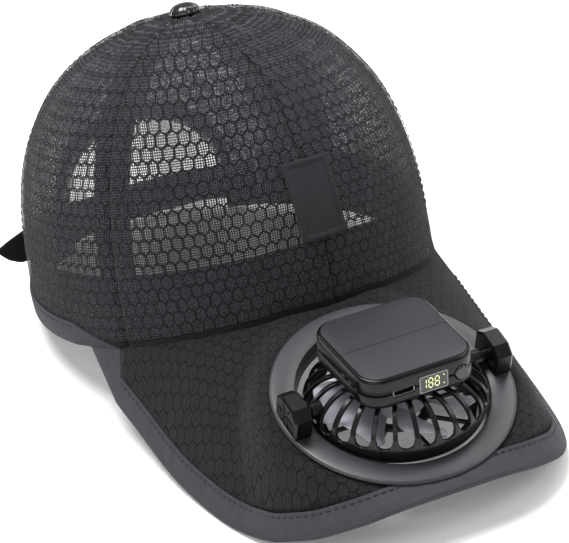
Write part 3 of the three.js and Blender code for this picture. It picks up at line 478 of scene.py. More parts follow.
def finish_piece(made, body, *nodes, material=None, slot=None):
    if material is not None:
        made.data.materials.clear()
        made.data.materials.append(material)
    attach(made, body)
    if nodes:
        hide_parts(*nodes)
    return made


# Materials
def linear(hex_colour):
    """An sRGB hex colour as linear RGBA."""
    values = [int(hex_colour[k:k + 2], 16) / 255 for k in (1, 3, 5)]
    return (*[v / 12.92 if v <= 0.04045 else ((v + 0.055) / 1.055) ** 2.4 for v in values], 1)


class Look:
    """A material with one shader, and short ways to add nodes to it."""

    def __init__(self, name, colour, roughness, **shader_values):
        self.material = bpy.data.materials.new(name)
        self.material.use_nodes = True
        self.tree = self.material.node_tree
        self.shader = self.tree.nodes["Principled BSDF"]
        self.colour = linear(colour)
        self.shader.inputs["Base Color"].default_value = self.colour
        self.shader.inputs["Roughness"].default_value = roughness
        for key, value in shader_values.items():
            self.shader.inputs[key.replace("_", " ")].default_value = value

    def node(self, kind, settings=None, output=0, **inputs):
        """Adds a node and gives one of its outputs. Inputs are named, or in0, in1 and so on."""
        made = self.tree.nodes.new(kind)
        for key, value in (settings or {}).items():
            setattr(made, key, value)
        for key, value in inputs.items():
            socket = made.inputs[int(key[2:])] if key[2:].isdigit() else made.inputs[key.replace("_", " ")]
            if isinstance(value, bpy.types.NodeSocket):
                self.tree.links.new(value, socket)
            else:
                socket.default_value = value
        return made.outputs[output]

    def math(self, operation, first, second=0.0, third=0.0):
        return self.node("ShaderNodeMath", {"operation": operation}, in0=first, in1=second, in2=third)

    def vector(self, operation, first, second=(0, 0, 0), third=(0, 0, 0), output=0):
        return self.node("ShaderNodeVectorMath", {"operation": operation}, output, in0=first, in1=second,
                         in2=third)

    def ramp(self, value, low, high, to_low=0.0, to_high=1.0):
        return self.node("ShaderNodeMapRange", {"interpolation_type": "SMOOTHSTEP"}, Value=value,
                         From_Min=low, From_Max=high, To_Min=to_low, To_Max=to_high)

    def blend(self, share, first, second):
        """A colour between two, each a socket or a hex colour."""
        pair = [linear(c) if isinstance(c, str) else c for c in (first, second)]
        made = self.tree.nodes.new("ShaderNodeMix")
        made.data_type = "RGBA"
        for socket, value in zip((made.inputs[0], made.inputs[6], made.inputs[7]), (share, *pair)):
            if isinstance(value, bpy.types.NodeSocket):
                self.tree.links.new(value, socket)
            else:
                socket.default_value = value
        return made.outputs[2]

    def split(self, place):
        """The x, y and z of a place."""
        made = self.tree.nodes.new("ShaderNodeSeparateXYZ")
        self.tree.links.new(place, made.inputs[0])
        return made.outputs

    def set(self, name, value):
        self.tree.links.new(value, self.shader.inputs[name])

    def bump(self, height, distance_mm):
        bumped = self.node("ShaderNodeBump", Strength=1.0, Distance=distance_mm * MM, Height=height)
        self.set("Normal", bumped)

    def cloth_place(self):
        """The piece's own flat coordinates, in millimetres."""
        return self.node("ShaderNodeUVMap", {"uv_map": "cloth"})

    def place_mm(self):
        """Place on the model, in millimetres."""
        spot = self.node("ShaderNodeTexCoord", output=3)
        return self.vector("MULTIPLY", spot, (1 / MM,) * 3)

    def noise(self, place, size_mm, detail=3.0):
        return self.node("ShaderNodeTexNoise", Vector=place, Scale=1 / size_mm, Detail=detail)

    def hexagons(self, place, width, height):
        """Distance from the sides of upright hexagons, in their widths: 0 at a side, 0.5 in the middle."""
        tall = math.sqrt(3)
        spot = self.vector("MULTIPLY", place, (1 / width, 2 / tall / height, 0))
        half = (0.5, tall / 2, 1)
        least = (-0.5, -tall / 2, -1)
        one = self.vector("WRAP", spot, half, least)
        other = self.vector("WRAP", self.vector("ADD", spot, (0.5, tall / 2, 0)), half, least)
        nearer = self.math("LESS_THAN", self.vector("DOT_PRODUCT", other, other, output=1),
                           self.vector("DOT_PRODUCT", one, one, output=1))
        cell = self.node("ShaderNodeMix", {"data_type": "VECTOR"}, 1, in0=nearer, in4=one, in5=other)
        across, up, _ = self.split(self.vector("ABSOLUTE", cell))
        slant = self.math("MULTIPLY_ADD", up, tall / 2, self.math("MULTIPLY", across, 0.5))
        return self.math("SUBTRACT", 0.5, self.math("MAXIMUM", across, slant))


# The mesh's knit: upright hexagon cells that drift a little, a fine square net inside them, and a plain
# hem along the rim. The net is drawn as coarse as it needs to show.
CELL_WIDTH = 4.4
CELL_HEIGHT = 6.4
CELL_DRIFT = 1.1
DRIFT_SIZE = 9.0
NET_PITCH = 0.95
HEM_HEIGHT = 3
HEM_FADE = 0.5
# Bands that a wave texture draws across one unit at scale 1
WAVE_BANDS = 3.1


def mesh_cloth(name, see_through, cord, dark, light):
    """Knitted polyester mesh: dark hexagon cords round a fine square net, open to the light or backed."""
    look = Look(name, "#29292b", 0.9, Specular_IOR_Level=0.12, Sheen_Weight=0.04, Sheen_Roughness=0.5)
    place = look.cloth_place()
    wander = look.node("ShaderNodeTexNoise", output=1, Vector=place, Scale=1 / DRIFT_SIZE)
    wander = look.vector("SUBTRACT", wander, (0.5, 0.5, 0.5))
    bent = look.vector("ADD", place, look.vector("MULTIPLY", wander, (CELL_DRIFT, CELL_DRIFT, 0)))
    inside = look.ramp(look.hexagons(bent, CELL_WIDTH, CELL_HEIGHT), 0.03, 0.085)
    half_pitch = NET_PITCH / 2
    net = look.vector("WRAP", bent, (half_pitch,) * 3, (-half_pitch,) * 3)
    across, up, _ = look.split(look.vector("ABSOLUTE", net))
    from_middle = look.math("MAXIMUM", across, up)
    hole = look.ramp(from_middle, NET_PITCH * 0.42, NET_PITCH * 0.30)
    if see_through:
        height = look.split(place)[1]
        inside = look.math("MULTIPLY", inside, look.ramp(height, HEM_HEIGHT - HEM_FADE, HEM_HEIGHT))
        gaps = look.math("MULTIPLY", inside, look.math("MULTIPLY", hole, see_through))
        look.set("Alpha", look.math("SUBTRACT", 1.0, gaps))
    tone = look.blend(look.noise(place, 16.0), dark, light)
    speck = look.blend(look.ramp(look.noise(place, 0.7, 1.0), 0.15, 0.7), cord, tone)
    look.set("Base Color", look.blend(inside, cord, speck))
    threads = look.math("MULTIPLY", look.ramp(from_middle, NET_PITCH * 0.2, NET_PITCH * 0.5), 0.5)
    look.bump(look.math("ADD", threads, look.ramp(inside, 1.0, 0.0)), 0.3)
    return look.material


def woven_cloth(name, dark, light, rib=0.9, depth=0.12):
    """Woven polyester tape: fine ribs across it, a soft sheen and slightly uneven colour."""
    look = Look(name, light, 0.85, Specular_IOR_Level=0.15, Sheen_Weight=0.05, Sheen_Roughness=0.45)
    place = look.cloth_place()
    ribs = look.node("ShaderNodeTexWave", {"bands_direction": "X"}, output=1, Vector=place,
                     Scale=1 / rib / WAVE_BANDS, Distortion=1.5, Detail=2.0)
    weave = look.node("ShaderNodeTexWave", {"bands_direction": "DIAGONAL"}, output=1, Vector=place,
                      Scale=0.35 / rib, Distortion=0.6)
    both = look.math("MULTIPLY_ADD", weave, 0.5, look.math("MULTIPLY", ribs, 0.5))
    tone = look.math("MULTIPLY_ADD", look.noise(place, 5.0), 0.7, look.math("MULTIPLY", both, 0.4))
    look.set("Base Color", look.blend(tone, dark, light))
    look.bump(both, depth)
    return look.material


def plastic(name, dark, light, roughness, grain=0.35, depth=0.02, **values):
    """Moulded plastic: an even colour with a fine spark-eroded grain that breaks up the highlight."""
    look = Look(name, light, roughness, IOR=1.5, **values)
    place = look.place_mm()
    look.set("Base Color", look.blend(look.noise(place, 12.0), dark, light))
    fine = look.noise(place, grain, 2.0)
    look.set("Roughness", look.ramp(look.noise(place, 9.0), 0.2, 0.8, roughness - 0.02, roughness + 0.02))
    look.bump(fine, depth)
    return look.material


# The solar panel's contact lines, and how far in front of its middle the dark line between its cells lies
FINGER_PITCH = 2.0
SPLIT_FORWARD = 0.6


def solar_glass():
    """Solar cells under resin: dark blue grey with fine contact lines, under a clear glossy skin."""
    look = Look("solar_cells", "#2a2a31", 0.5, Coat_Weight=0.25, Coat_Roughness=0.25, Coat_IOR=1.5,
                Specular_IOR_Level=0.3)
    place = look.cloth_place()
    across, along, _ = look.split(place)
    from_finger = look.math("ABSOLUTE", look.math("WRAP", across, FINGER_PITCH / 2, -FINGER_PITCH / 2))
    fingers = look.ramp(from_finger, 0.10, 0.04, 0.0, 0.35)
    split = look.ramp(look.math("ABSOLUTE", look.math("ADD", along, SPLIT_FORWARD)), 0.5, 0.35)
    tone = look.blend(look.noise(place, 16.0), "#202026", "#27272e")
    cells = look.blend(fingers, tone, "#2d2d35")
    look.set("Base Color", look.blend(split, cells, "#0d0d10"))
    return look.material


# The open mesh lets light through its net. On the peak a cloth backs it, so it is darker and closed.
MESH = mesh_cloth("polyester_mesh", 0.78, "#161619", "#3f3e42", "#4b4a4f")
BACKED_MESH = mesh_cloth("backed_polyester_mesh", 0, "#111113", "#1f1f21", "#2a2a2c")
# Tapes and threads are matt, and their ribs show only close up
DARK = woven_cloth("dark_polyester_tape", "#111112", "#1b1b1d")
BINDING = woven_cloth("grey_polyester_binding", "#323136", "#434248", rib=0.8)
PATCH = woven_cloth("woven_patch", "#222124", "#2e2d31", rib=1.1)
THREAD = woven_cloth("polyester_thread", "#2a292c", "#3a393e", rib=0.5, depth=0.05)
# Black mouldings give soft narrow highlights, and the ring's grey has broader ones
BLACK = plastic("black_abs", "#040404", "#08080a", 0.26, Specular_IOR_Level=0.3)
SATIN = plastic("satin_black_abs", "#050505", "#0a0a0b", 0.26, Specular_IOR_Level=0.35)
GREY = plastic("grey_abs", "#2b2c2f", "#35363a", 0.34)
# Pale and slightly waxy, so that the blades stand out behind the black ribs
BLADE = plastic("grey_polypropylene", "#9b9ca5", "#abacb5", 0.4)
# Polished and coated, with small sharp highlights
GLOSS = plastic("gloss_black_button", "#0b0b0b", "#131313", 0.2, depth=0.005, Coat_Weight=0.4)
STEEL = plastic("nickel_plated_steel", "#6a6b6d", "#808183", 0.3, Metallic=1.0)
INK = plastic("black_void_plastic", "#040404", "#080808", 0.5)
BEZEL = plastic("pale_bezel", "#77787b", "#8a8b8e", 0.35)
SOLAR = solar_glass()
# Smoked clear plastic, dark behind pale green digits that light themselves
SCREEN = plastic("display_window", "#14150f", "#1c1d17", 0.15, depth=0.002, Coat_Weight=0.3)
LIT = Look("lit_digits", "#c8cd96", 0.5, Emission_Color=linear("#c8cd96"), Emission_Strength=0.9).material


# Crown cloth
WRINKLE = 0.35


def wrinkle(turn, height):
    """Small waves of the cloth, the same on each run."""
    return WRINKLE * (np.sin(turn * 0.19 + height * 0.07) * np.sin(height * 0.083 + turn * 0.043)
                      + 0.5 * np.sin(turn * 0.37 - height * 0.051 + 1.3))


def panel_uv(turns, rises, middle):
    return np.stack([np.radians(turns - middle) * crown_reach(rises), CROWN_HEIGHT * height_share(rises)], -1)


PANEL_COLUMNS = 44
PANEL_ROWS = 60
# More rows near the rim, and how far from seams, rim and top the cloth's waves begin
ROW_CROWDING = 1.15
WAVE_FROM_SEAM = 10
WAVE_FROM_RIM = 1 / 8
WAVE_FROM_TOP = 1 / 6
ROOT_GROOVE_HEIGHT = 2


def panel(word, side, index):
    """One crown panel: front, side or back, between its two seams."""
    shares = np.linspace(0, 1, PANEL_COLUMNS + 1)
    start, end = SEAM_TURNS[index], SEAM_TURNS[index + 1]
    base_turn = mix(start, end, shares)
    low = np.zeros_like(base_turn) if index == 0 else rise_at(binding_height(base_turn) + CLEARANCE)
    climb = np.linspace(0, 1, PANEL_ROWS + 1) ** ROW_CROWDING
    rises = low[:, None] + (PANEL_TOP - low[:, None]) * climb[None, :]
    gap = np.degrees(SEAM_GAP / 2 / crown_reach(rises))
    first = (side * seam_turn(0, rises) if index == 0 else np.full_like(rises, start)) + gap
    last = (opening_turn(rises) if index == 2 else np.full_like(rises, end)) - gap
    turns = mix(first, last, shares[:, None])
    from_seam = np.radians(np.minimum(np.abs(turns - first), np.abs(last - turns))) * crown_reach(rises)
    groove = -SEAM_GROOVE * np.clip(1 - from_seam / SEAM_GROOVE_REACH, 0, 1) ** 2
    settle = np.clip(from_seam / WAVE_FROM_SEAM, 0, 1)
    settle = settle * np.clip(rises / WAVE_FROM_RIM, 0, 1) * np.clip((1 - rises) / WAVE_FROM_TOP, 0, 1)
    proud = groove + wrinkle(side * turns, CROWN_HEIGHT * rises) * settle
    if index == 0:
        root = np.clip(1 - CROWN_HEIGHT * height_share(rises) / ROOT_GROOVE_HEIGHT, 0, 1)
        proud = proud - ROOT_GROOVE * root
    outer = crown_point(side * turns, rises, proud)
    inner = crown_point(side * turns, rises, proud - CROWN_CLOTH)
    uvs = panel_uv(turns, rises, (start + end) / 2)
    name = f"{('front', 'side', 'back')[index]}_panel_{word}"
    made = grid_shell(f"cloth_{name}", outer, inner, CAP, uvs)
    return finish_piece(made, "root", name, material=MESH, slot="mesh_cloth")


TAPE_TOP = 0.93
TAPE_ROWS = 50
TAPE_COLUMNS = 9
TAPE_HALF_TURN = 27
TAPE_GAP = CLEARANCE * 1.6


def seam_tape(name, side, index, lowest):
    """A tape behind a seam, narrower near the top where the tapes meet."""
    rises = np.linspace(lowest, TAPE_TOP, TAPE_ROWS)
    shares = np.linspace(-1, 1, TAPE_COLUMNS)
    half = np.minimum(np.degrees(TAPE_WIDTH / 2 / crown_reach(rises)), TAPE_HALF_TURN)
    turns = side * seam_turn(index, rises)[None, :] + shares[:, None] * half[None, :]
    rise = np.broadcast_to(rises, turns.shape)
    face = CROWN_CLOTH + TAPE_GAP + SEAM_GROOVE * (1 - np.abs(shares)[:, None]) ** 4
    outer = crown_point(turns, rise, -face)
    inner = crown_point(turns, rise, -face - TAPE_THICKNESS)
    uvs = np.stack([shares[:, None] * TAPE_WIDTH / 2 + 0 * rise, CROWN_HEIGHT * rise], -1)
    made = grid_shell(f"cloth_{name}", outer, inner, CAP, uvs[..., ::-1])
    return finish_piece(made, "root", name, material=DARK, slot="dark_cloth")


TAPE_LOW = float(rise_at(SWEATBAND_HEIGHT + CLEARANCE * 2))
for word, side in SIDES.items():
    for index in range(3):
        panel(word, side, index)
    seam_tape(f"{word}_front_seam_tape", side, 1, TAPE_LOW)
    seam_tape(f"{word}_back_seam_tape", side, 2, TAPE_LOW)
seam_tape("front_seam_tape", 1, 0, TAPE_LOW)
seam_tape("back_seam_tape", 1, 3, OPENING_TOP + 0.02)

# Sweatband, with three soft swells on its inner face
BAND_COLUMNS = 200
BAND_ROWS = 14
BAND_SWELL = 0.21
band_turns = np.linspace(-SWEATBAND_END_TURN, SWEATBAND_END_TURN, BAND_COLUMNS)[:, None]
band_rises = np.linspace(0, float(rise_at(SWEATBAND_HEIGHT)), BAND_ROWS)[None, :]
band_rise = np.broadcast_to(band_rises, (BAND_COLUMNS, BAND_ROWS))
band_swell = BAND_SWELL * np.abs(np.sin(np.linspace(0, 1, BAND_ROWS) * math.pi * 3))[None, :]
band_outer = crown_point(band_turns, band_rise, -SWEATBAND_INSET)
band_inner = crown_point(band_turns, band_rise, -SWEATBAND_INSET - SWEATBAND_THICKNESS - band_swell)
band_uv = np.stack([np.radians(band_turns) * CROWN_HALF_WIDTH + 0 * band_rise, band_rise * CROWN_HEIGHT], -1)
band = grid_shell("cloth_sweatband", band_outer, band_inner, CAP, band_uv)
finish_piece(band, "root", "sweatband", material=DARK, slot="dark_cloth")


# Peak outline in plan, a smooth curve through points from the left root to the right one.
# along: share of the way from the root's end to the front. wide: share of the half width.
ROOT_END = crown_face(np.float64(PEAK_ROOT_TURN), np.float64(0))
PEAK_FRONT = -CROWN_FRONT - PEAK_REACH
OUTLINE = (
    # along, wide
    (0, ROOT_END[0] / PEAK_HALF_WIDTH),
    (0.095, 1.006),
    (0.239, 0.997),
    (0.46, 0.97),
    (0.671, 0.895),
    (0.805, 0.789),
    (0.9, 0.66),
    (0.965, 0.485),
    (0.993, 0.309),
    (1, 0),
)


def smooth_curve(points, fine=400):
    """A centripetal Catmull-Rom curve through points, as many close points and their arc lengths."""
    points = np.array(points, float)
    points = np.vstack([2 * points[0] - points[1], points, 2 * points[-1] - points[-2]])
    pieces = []
    for k in range(1, len(points) - 2):
        p0, p1, p2, p3 = points[k - 1:k + 3]
        t1 = np.linalg.norm(p1 - p0) ** 0.5
        t2 = t1 + np.linalg.norm(p2 - p1) ** 0.5
        t3 = t2 + np.linalg.norm(p3 - p2) ** 0.5
        t = np.linspace(t1, t2, fine, endpoint=False)[:, None]
        a1 = (t1 - t) / t1 * p0 + t / t1 * p1
        a2 = (t2 - t) / (t2 - t1) * p1 + (t - t1) / (t2 - t1) * p2
        a3 = (t3 - t) / (t3 - t2) * p2 + (t - t2) / (t3 - t2) * p3
        b1 = (t2 - t) / t2 * a1 + t / t2 * a2
        b2 = (t3 - t) / (t3 - t1) * a2 + (t - t1) / (t3 - t1) * a3
        pieces.append((t2 - t) / (t2 - t1) * b1 + (t - t1) / (t2 - t1) * b2)
    line = np.vstack([*pieces, points[-2]])
    length = np.concatenate([[0], np.cumsum(np.linalg.norm(np.diff(line, axis=0), axis=1))])
    return line, length


left_side = [(wide * PEAK_HALF_WIDTH, mix(ROOT_END[1], PEAK_FRONT, along)) for along, wide in OUTLINE]
outline, outline_length = smooth_curve(left_side + [(-x, y) for x, y in left_side[-2::-1]])


def outline_at(shares):
    spots = np.asarray(shares) * outline_length[-1]
    return np.stack([np.interp(spots, outline_length, outline[:, k]) for k in (0, 1)], -1)


def peak_edge(shares, width):
    """Plan points inside the outline by a width that is measured along the peak's face."""
    shares = np.asarray(shares, float)
    edge = outline_at(shares)
    step = 0.002
    along = unit(outline_at(np.minimum(shares + step, 1)) - outline_at(np.maximum(shares - step, 0)))
    inward = np.stack([along[:, 1], -along[:, 0]], -1)
    width = np.broadcast_to(np.asarray(width, float), shares.shape)
    plan = width.copy()
    start = peak_face(*edge.T)
    for _ in range(4):
        end = edge + inward * plan[:, None]
        reached = np.linalg.norm(peak_face(*end.T) - start, axis=-1)
        plan = plan * width / np.maximum(reached, 0.01)
    return edge + inward * plan[:, None]


# Peak cloth, with the round hole for the fan
PEAK_COLUMNS = 150
PEAK_ROWS = 46
ROOT_TURN_SLACK = 0.5
PEAK_UNDER_BINDING = 0.6
PEAK_SINK = 0.35
PEAK_SINK_FROM = 0.93
peak_shares = mix(BINDING_END_SHARE, 1 - BINDING_END_SHARE, np.linspace(0, 1, PEAK_COLUMNS + 1))
root_turns = np.linspace(1, -1, PEAK_COLUMNS + 1) * (BINDING_INNER_TURN - ROOT_TURN_SLACK)
peak_root = crown_point(root_turns, 0, -CROWN_CLOTH / 2)[:, :2]
peak_rim = peak_edge(peak_shares, PEAK_BINDING_WIDTH - PEAK_UNDER_BINDING)
row_shares = np.linspace(0, 1, PEAK_ROWS + 1)[None, :, None]
peak_plan = mix(peak_root[:, None, :], peak_rim[:, None, :], row_shares)
px, py = peak_plan[..., 0], peak_plan[..., 1]
peak_sink = np.clip((row_shares[..., 0] - PEAK_SINK_FROM) / (1 - PEAK_SINK_FROM), 0, 1)
peak_sink = -PEAK_SINK * peak_sink + 0 * px
peak_outer = peak_face(px, py, peak_sink)
peak_inner = peak_face(px, py, -PEAK_THICKNESS - peak_sink)
peak_uv = np.stack([px, py / SLOPE_COS], -1)
peak = grid_shell("cloth_peak", peak_outer, peak_inner, CAP, peak_uv)
HOLE_RADIUS = COLLAR_RADIUS + CLEARANCE
HOLE_REACH = 20
hole = lathe("peak_hole", [(0, -HOLE_REACH), (HOLE_RADIUS, -HOLE_REACH), (HOLE_RADIUS, HOLE_REACH),
                           (0, HOLE_REACH)], RING, sides=128)
carve(peak, [hole])
finish_piece(peak, "root", "peak", material=BACKED_MESH, slot="mesh_cloth")


# Edge binding, one folded tape round the peak and the rim. Its leaves swell a little between the inner
# line and the fold, and a small lip turns down along the inner line.
FOLD_ANGLES = np.linspace(90, -90, 7)
LEAF_MIDDLE = 0.55
UPPER_SWELL = 0.15
LOWER_SWELL = 0.1
INNER_LIP = 0.45
BINDING_FLAT_WIDTH = 24
RIM_PUCKER = 0.12
PEAK_PUCKER = 0.14


def fold_section(inner_top, edge_top, inner_low, edge_low, pucker):
    """Corners of the binding's section, from its upper line round the fold to its lower line."""
    out = unit(edge_top - inner_top)
    middle = (edge_top + edge_low) / 2
    up = (edge_top - edge_low) / 2
    fold = [middle + out * BINDING_FOLD * math.cos(a) + up * math.sin(a) for a in np.radians(FOLD_ANGLES)]
    face_up = unit(up)
    half_top = mix(inner_top, edge_top, LEAF_MIDDLE) + face_up * (UPPER_SWELL + pucker[:, None])
    half_low = mix(inner_low, edge_low, LEAF_MIDDLE) - face_up * LOWER_SWELL
    return np.stack([inner_top - face_up * INNER_LIP, inner_top, half_top, *fold, half_low, inner_low], 1)


def rim_sections(side, turns):
    ramp = (turns - BINDING_INNER_TURN) / (BINDING_LEVEL_TURN - BINDING_INNER_TURN)
    edge_turns = np.where(ramp < 1, mix(PEAK_ROOT_TURN, BINDING_LEVEL_TURN, ramp), turns)
    upper = rise_at(binding_height(turns))
    depth = CROWN_CLOTH + CLEARANCE
    puckers = RIM_PUCKER * np.sin(turns * 1.9)
    return fold_section(
        crown_point(side * turns, upper, BINDING_PROUD),
        crown_point(side * edge_turns, 0 * turns, BINDING_PROUD),
        crown_point(side * turns, upper, -depth),
        crown_point(side * edge_turns, 0 * turns, -depth),
        puckers,
    )


def peak_sections(shares):
    edge, inner = peak_edge(shares, 0), peak_edge(shares, PEAK_BINDING_WIDTH)
    low = -PEAK_THICKNESS - BINDING_PROUD
    spots = shares * outline_length[-1]
    puckers = PEAK_PUCKER * np.sin(spots * 0.9) * np.sin(spots * 0.23)
    return fold_section(
        peak_face(*inner.T, BINDING_PROUD),
        peak_face(*edge.T, BINDING_PROUD),
        peak_face(*inner.T, low),
        peak_face(*edge.T, low),
        puckers,
    )


RIM_STATIONS = 110
PEAK_STATIONS = 300
rim_turns = np.linspace(BINDING_INNER_TURN, OPENING_TURN, RIM_STATIONS)
binding_shares = np.linspace(BINDING_END_SHARE, 1 - BINDING_END_SHARE, PEAK_STATIONS)
binding_sections = np.concatenate([
    rim_sections(1, rim_turns)[::-1],
    peak_sections(binding_shares),
    rim_sections(-1, rim_turns),
])
step_lengths = np.linalg.norm(np.diff(binding_sections[:, 1], axis=0), axis=-1)
binding_along = np.concatenate([[0], np.cumsum(step_lengths)])
corner_count = binding_sections.shape[1]
binding_uv = np.stack([
    np.repeat(binding_along[:, None], corner_count, 1),
    np.repeat(np.linspace(0, BINDING_FLAT_WIDTH, corner_count)[None, :], len(binding_along), 0),
], -1)
binding = swept("cloth_edge_binding", binding_sections, CAP, uvs=binding_uv)
sharpen(binding, 60)
finish_piece(binding, "root", "edge_binding", material=BINDING, slot="grey_binding")


# Stitches: short threads along a line, as one mesh
STITCH_LENGTH = 2.3
STITCH_GAP = 0.9
STITCH_RADIUS = 0.22
STITCH_SIDES = 6
STITCH_ARCH = np.array([
    # share of the stitch's length, lift and thickness as shares of its radius
    (0, -0.9, 0.5),
    (0.12, 0.2, 1),
    (0.5, 0.5, 1.1),
    (0.88, 0.2, 1),
    (1, -0.9, 0.5),
])
STITCH_FROM_EDGE = 1.6
STITCH_LIFT = 0.1


def stitches(name, on_line, above_line):
    """A row of stitches, each a small arch, along a line of points and towards the line above it."""
    normals = above_line - on_line
    run = np.concatenate([[0], np.cumsum(np.linalg.norm(np.diff(on_line, axis=0), axis=1))])
    ring_angles = np.radians(np.arange(STITCH_SIDES) * 360 / STITCH_SIDES)
    points, faces, uvs = [], [], []
    for k in range(int(run[-1] / (STITCH_LENGTH + STITCH_GAP))):
        spots = k * (STITCH_LENGTH + STITCH_GAP) + STITCH_LENGTH * STITCH_ARCH[:, 0]
        centre = np.stack([np.interp(spots, run, on_line[:, a]) for a in range(3)], -1)
        up = unit(np.array([np.interp(spots[2], run, normals[:, a]) for a in range(3)]))
        across = np.cross(unit(centre[-1] - centre[0]), up)
        centre = centre + up * (STITCH_RADIUS * STITCH_ARCH[:, 1])[:, None]
        first = len(points)
        for spot, middle, thick in zip(spots, centre, STITCH_RADIUS * STITCH_ARCH[:, 2]):
            for angle in ring_angles:
                points.append(middle + thick * (across * math.cos(angle) + up * math.sin(angle)))
                uvs.append((spot, angle))
        for ring in range(len(STITCH_ARCH) - 1):
            for corner in range(STITCH_SIDES):
                a = first + ring * STITCH_SIDES + corner
                b = first + ring * STITCH_SIDES + (corner + 1) % STITCH_SIDES
                faces.append((a, b, b + STITCH_SIDES, a + STITCH_SIDES))
        last = len(points) - STITCH_SIDES
        faces.append(tuple(first + c for c in reversed(range(STITCH_SIDES))))
        faces.append(tuple(last + c for c in range(STITCH_SIDES)))
    made = mesh_object(name, place(points, CAP), faces, uvs)
    face_out(made)
    return finish_piece(made, "root", material=THREAD)


stitch_line = peak_edge(binding_shares, PEAK_BINDING_WIDTH - STITCH_FROM_EDGE)
stitch_lifts = (BINDING_PROUD + STITCH_LIFT, BINDING_PROUD + STITCH_LIFT + 1)
stitches("binding_stitches_peak", *[peak_face(*stitch_line.T, lift) for lift in stitch_lifts])
level_turns = np.linspace(BINDING_LEVEL_TURN, OPENING_TURN - 1, 90)
for word, side in SIDES.items():
    rises = rise_at(RIM_BINDING_WIDTH - STITCH_FROM_EDGE + 0 * level_turns)
    stitches(f"binding_stitches_rim_{word}", *[
        crown_point(side * level_turns, rises, lift) for lift in stitch_lifts])

SEAM_STITCH_OUT = 6.5
SEAM_STITCH_LIFT = 0.05
SEAM_STITCH_TOP = 0.86
SEAM_STITCHES = (
    # seam, side, index of the seam, rise of the lowest stitch
    ("front", 1, 0, float(rise_at(PATCH_HIGH + 2))),
    ("left_front", 1, 1, 0.05),
    ("right_front", -1, 1, 0.05),
    ("left_back", 1, 2, 0.09),
    ("right_back", -1, 2, 0.09),
    ("back", 1, 3, OPENING_TOP + 0.06),
)
for seam_name, side, index, lowest in SEAM_STITCHES:
    for letter, beside in (("a", -1), ("b", 1)):
        rises = np.linspace(lowest, SEAM_STITCH_TOP, 120)
        turns = side * seam_turn(index, rises) + beside * np.degrees(SEAM_STITCH_OUT / crown_reach(rises))
        stitches(f"seam_stitches_{seam_name}_{letter}", crown_point(turns, rises, SEAM_STITCH_LIFT),
                 crown_point(turns, rises, SEAM_STITCH_LIFT + 1))

# Opening tape, laid round the arch on the back panels
ARCH_STATIONS = 90
ARCH_TOP = float(rise_at(OPENING_HEIGHT + OPENING_TAPE_WIDTH + 1))
ARCH_CROWDING = 0.8
ARCH_TAPE_LENGTH = 120
ARCH_SECTION = (
    # share of the tape's width out from the opening, height above the panels
    (0.08, 0.6),
    (0.08, 1.2),
    (0.5, 1.35),
    (1, 1.2),
    (1, 0.6),
)


def arch_section(share):
    """Corners of the opening's tape, at a share of the way round its arch."""
    angle = mix(-90, 90, share)
    side = 1 if angle >= 0 else -1
    low = float(rise_at(RIM_BINDING_WIDTH + CLEARANCE * 2))
    corners = []
    for spread, proud in ARCH_SECTION:
        top = mix(OPENING_TOP, ARCH_TOP, spread)
        rise = mix(low, top, math.cos(math.radians(angle)) ** ARCH_CROWDING if abs(angle) < 90 else 0.0)
        height = min(max((rise - low) / (top - low), 0), 1)
        half = 180 - OPENING_TURN + spread * math.degrees(OPENING_TAPE_WIDTH / CROWN_BACK)
        corners.append(crown_point(180 - side * half * math.sqrt(1 - height ** ARCH_POWER), rise, proud))
    return np.array(corners)


arch = np.array([arch_section(share) for share in np.linspace(0, 1, ARCH_STATIONS)])
arch_uv = np.stack(np.broadcast_arrays(
    np.linspace(0, ARCH_TAPE_LENGTH, ARCH_STATIONS)[:, None],
    np.linspace(0, 2 * OPENING_TAPE_WIDTH, len(ARCH_SECTION))[None, :]), -1)
arch_tape = swept("cloth_opening_tape", arch, CAP, uvs=arch_uv)
sharpen(arch_tape, 50)
finish_piece(arch_tape, "root", "opening_tape", material=DARK, slot="dark_cloth")


# Straps across the opening, a flat section with rounded edges
STRAP_SECTION = np.array([
    # share of half the strap's height, depth inside its outer face, flat place across it
    (-1, 0.3, -8),
    (-0.93, 0, -7.5),
    (0, 0, 0),
    (0.93, 0, 7.5),
    (1, 0.3, 8),
    (1, STRAP_THICKNESS - 0.3, 8),
    (0.93, STRAP_THICKNESS, 7.5),
    (0, STRAP_THICKNESS, 0),
    (-0.93, STRAP_THICKNESS, -7.5),
    (-1, STRAP_THICKNESS - 0.3, -8),
])
STRAP_LOWEST = 0.1


def strap(node_name, turns, depths, fills, lifts):
    """A strap along turns. fills are shares of its full height, and lifts raise its middle line."""
    sections = []
    for turn, depth, fill, lift in zip(turns, depths, fills, lifts):
        middle = STRAP_ABOVE_RIM + STRAP_HEIGHT / 2 + lift
        heights = np.maximum(middle + fill * STRAP_HEIGHT / 2 * STRAP_SECTION[:, 0], STRAP_LOWEST)
        sections.append(crown_point(turn, rise_at(heights), -depth - STRAP_SECTION[:, 1]))
    along = np.radians(turns) * CROWN_BACK
    uvs = np.stack(np.broadcast_arrays(along[:, None], STRAP_SECTION[None, :, 2]), -1)
    made = swept(f"cloth_{node_name}", np.array(sections), CAP, uvs=uvs)
    sharpen(made, 60)
    return finish_piece(made, "root", node_name, material=DARK, slot="dark_cloth")


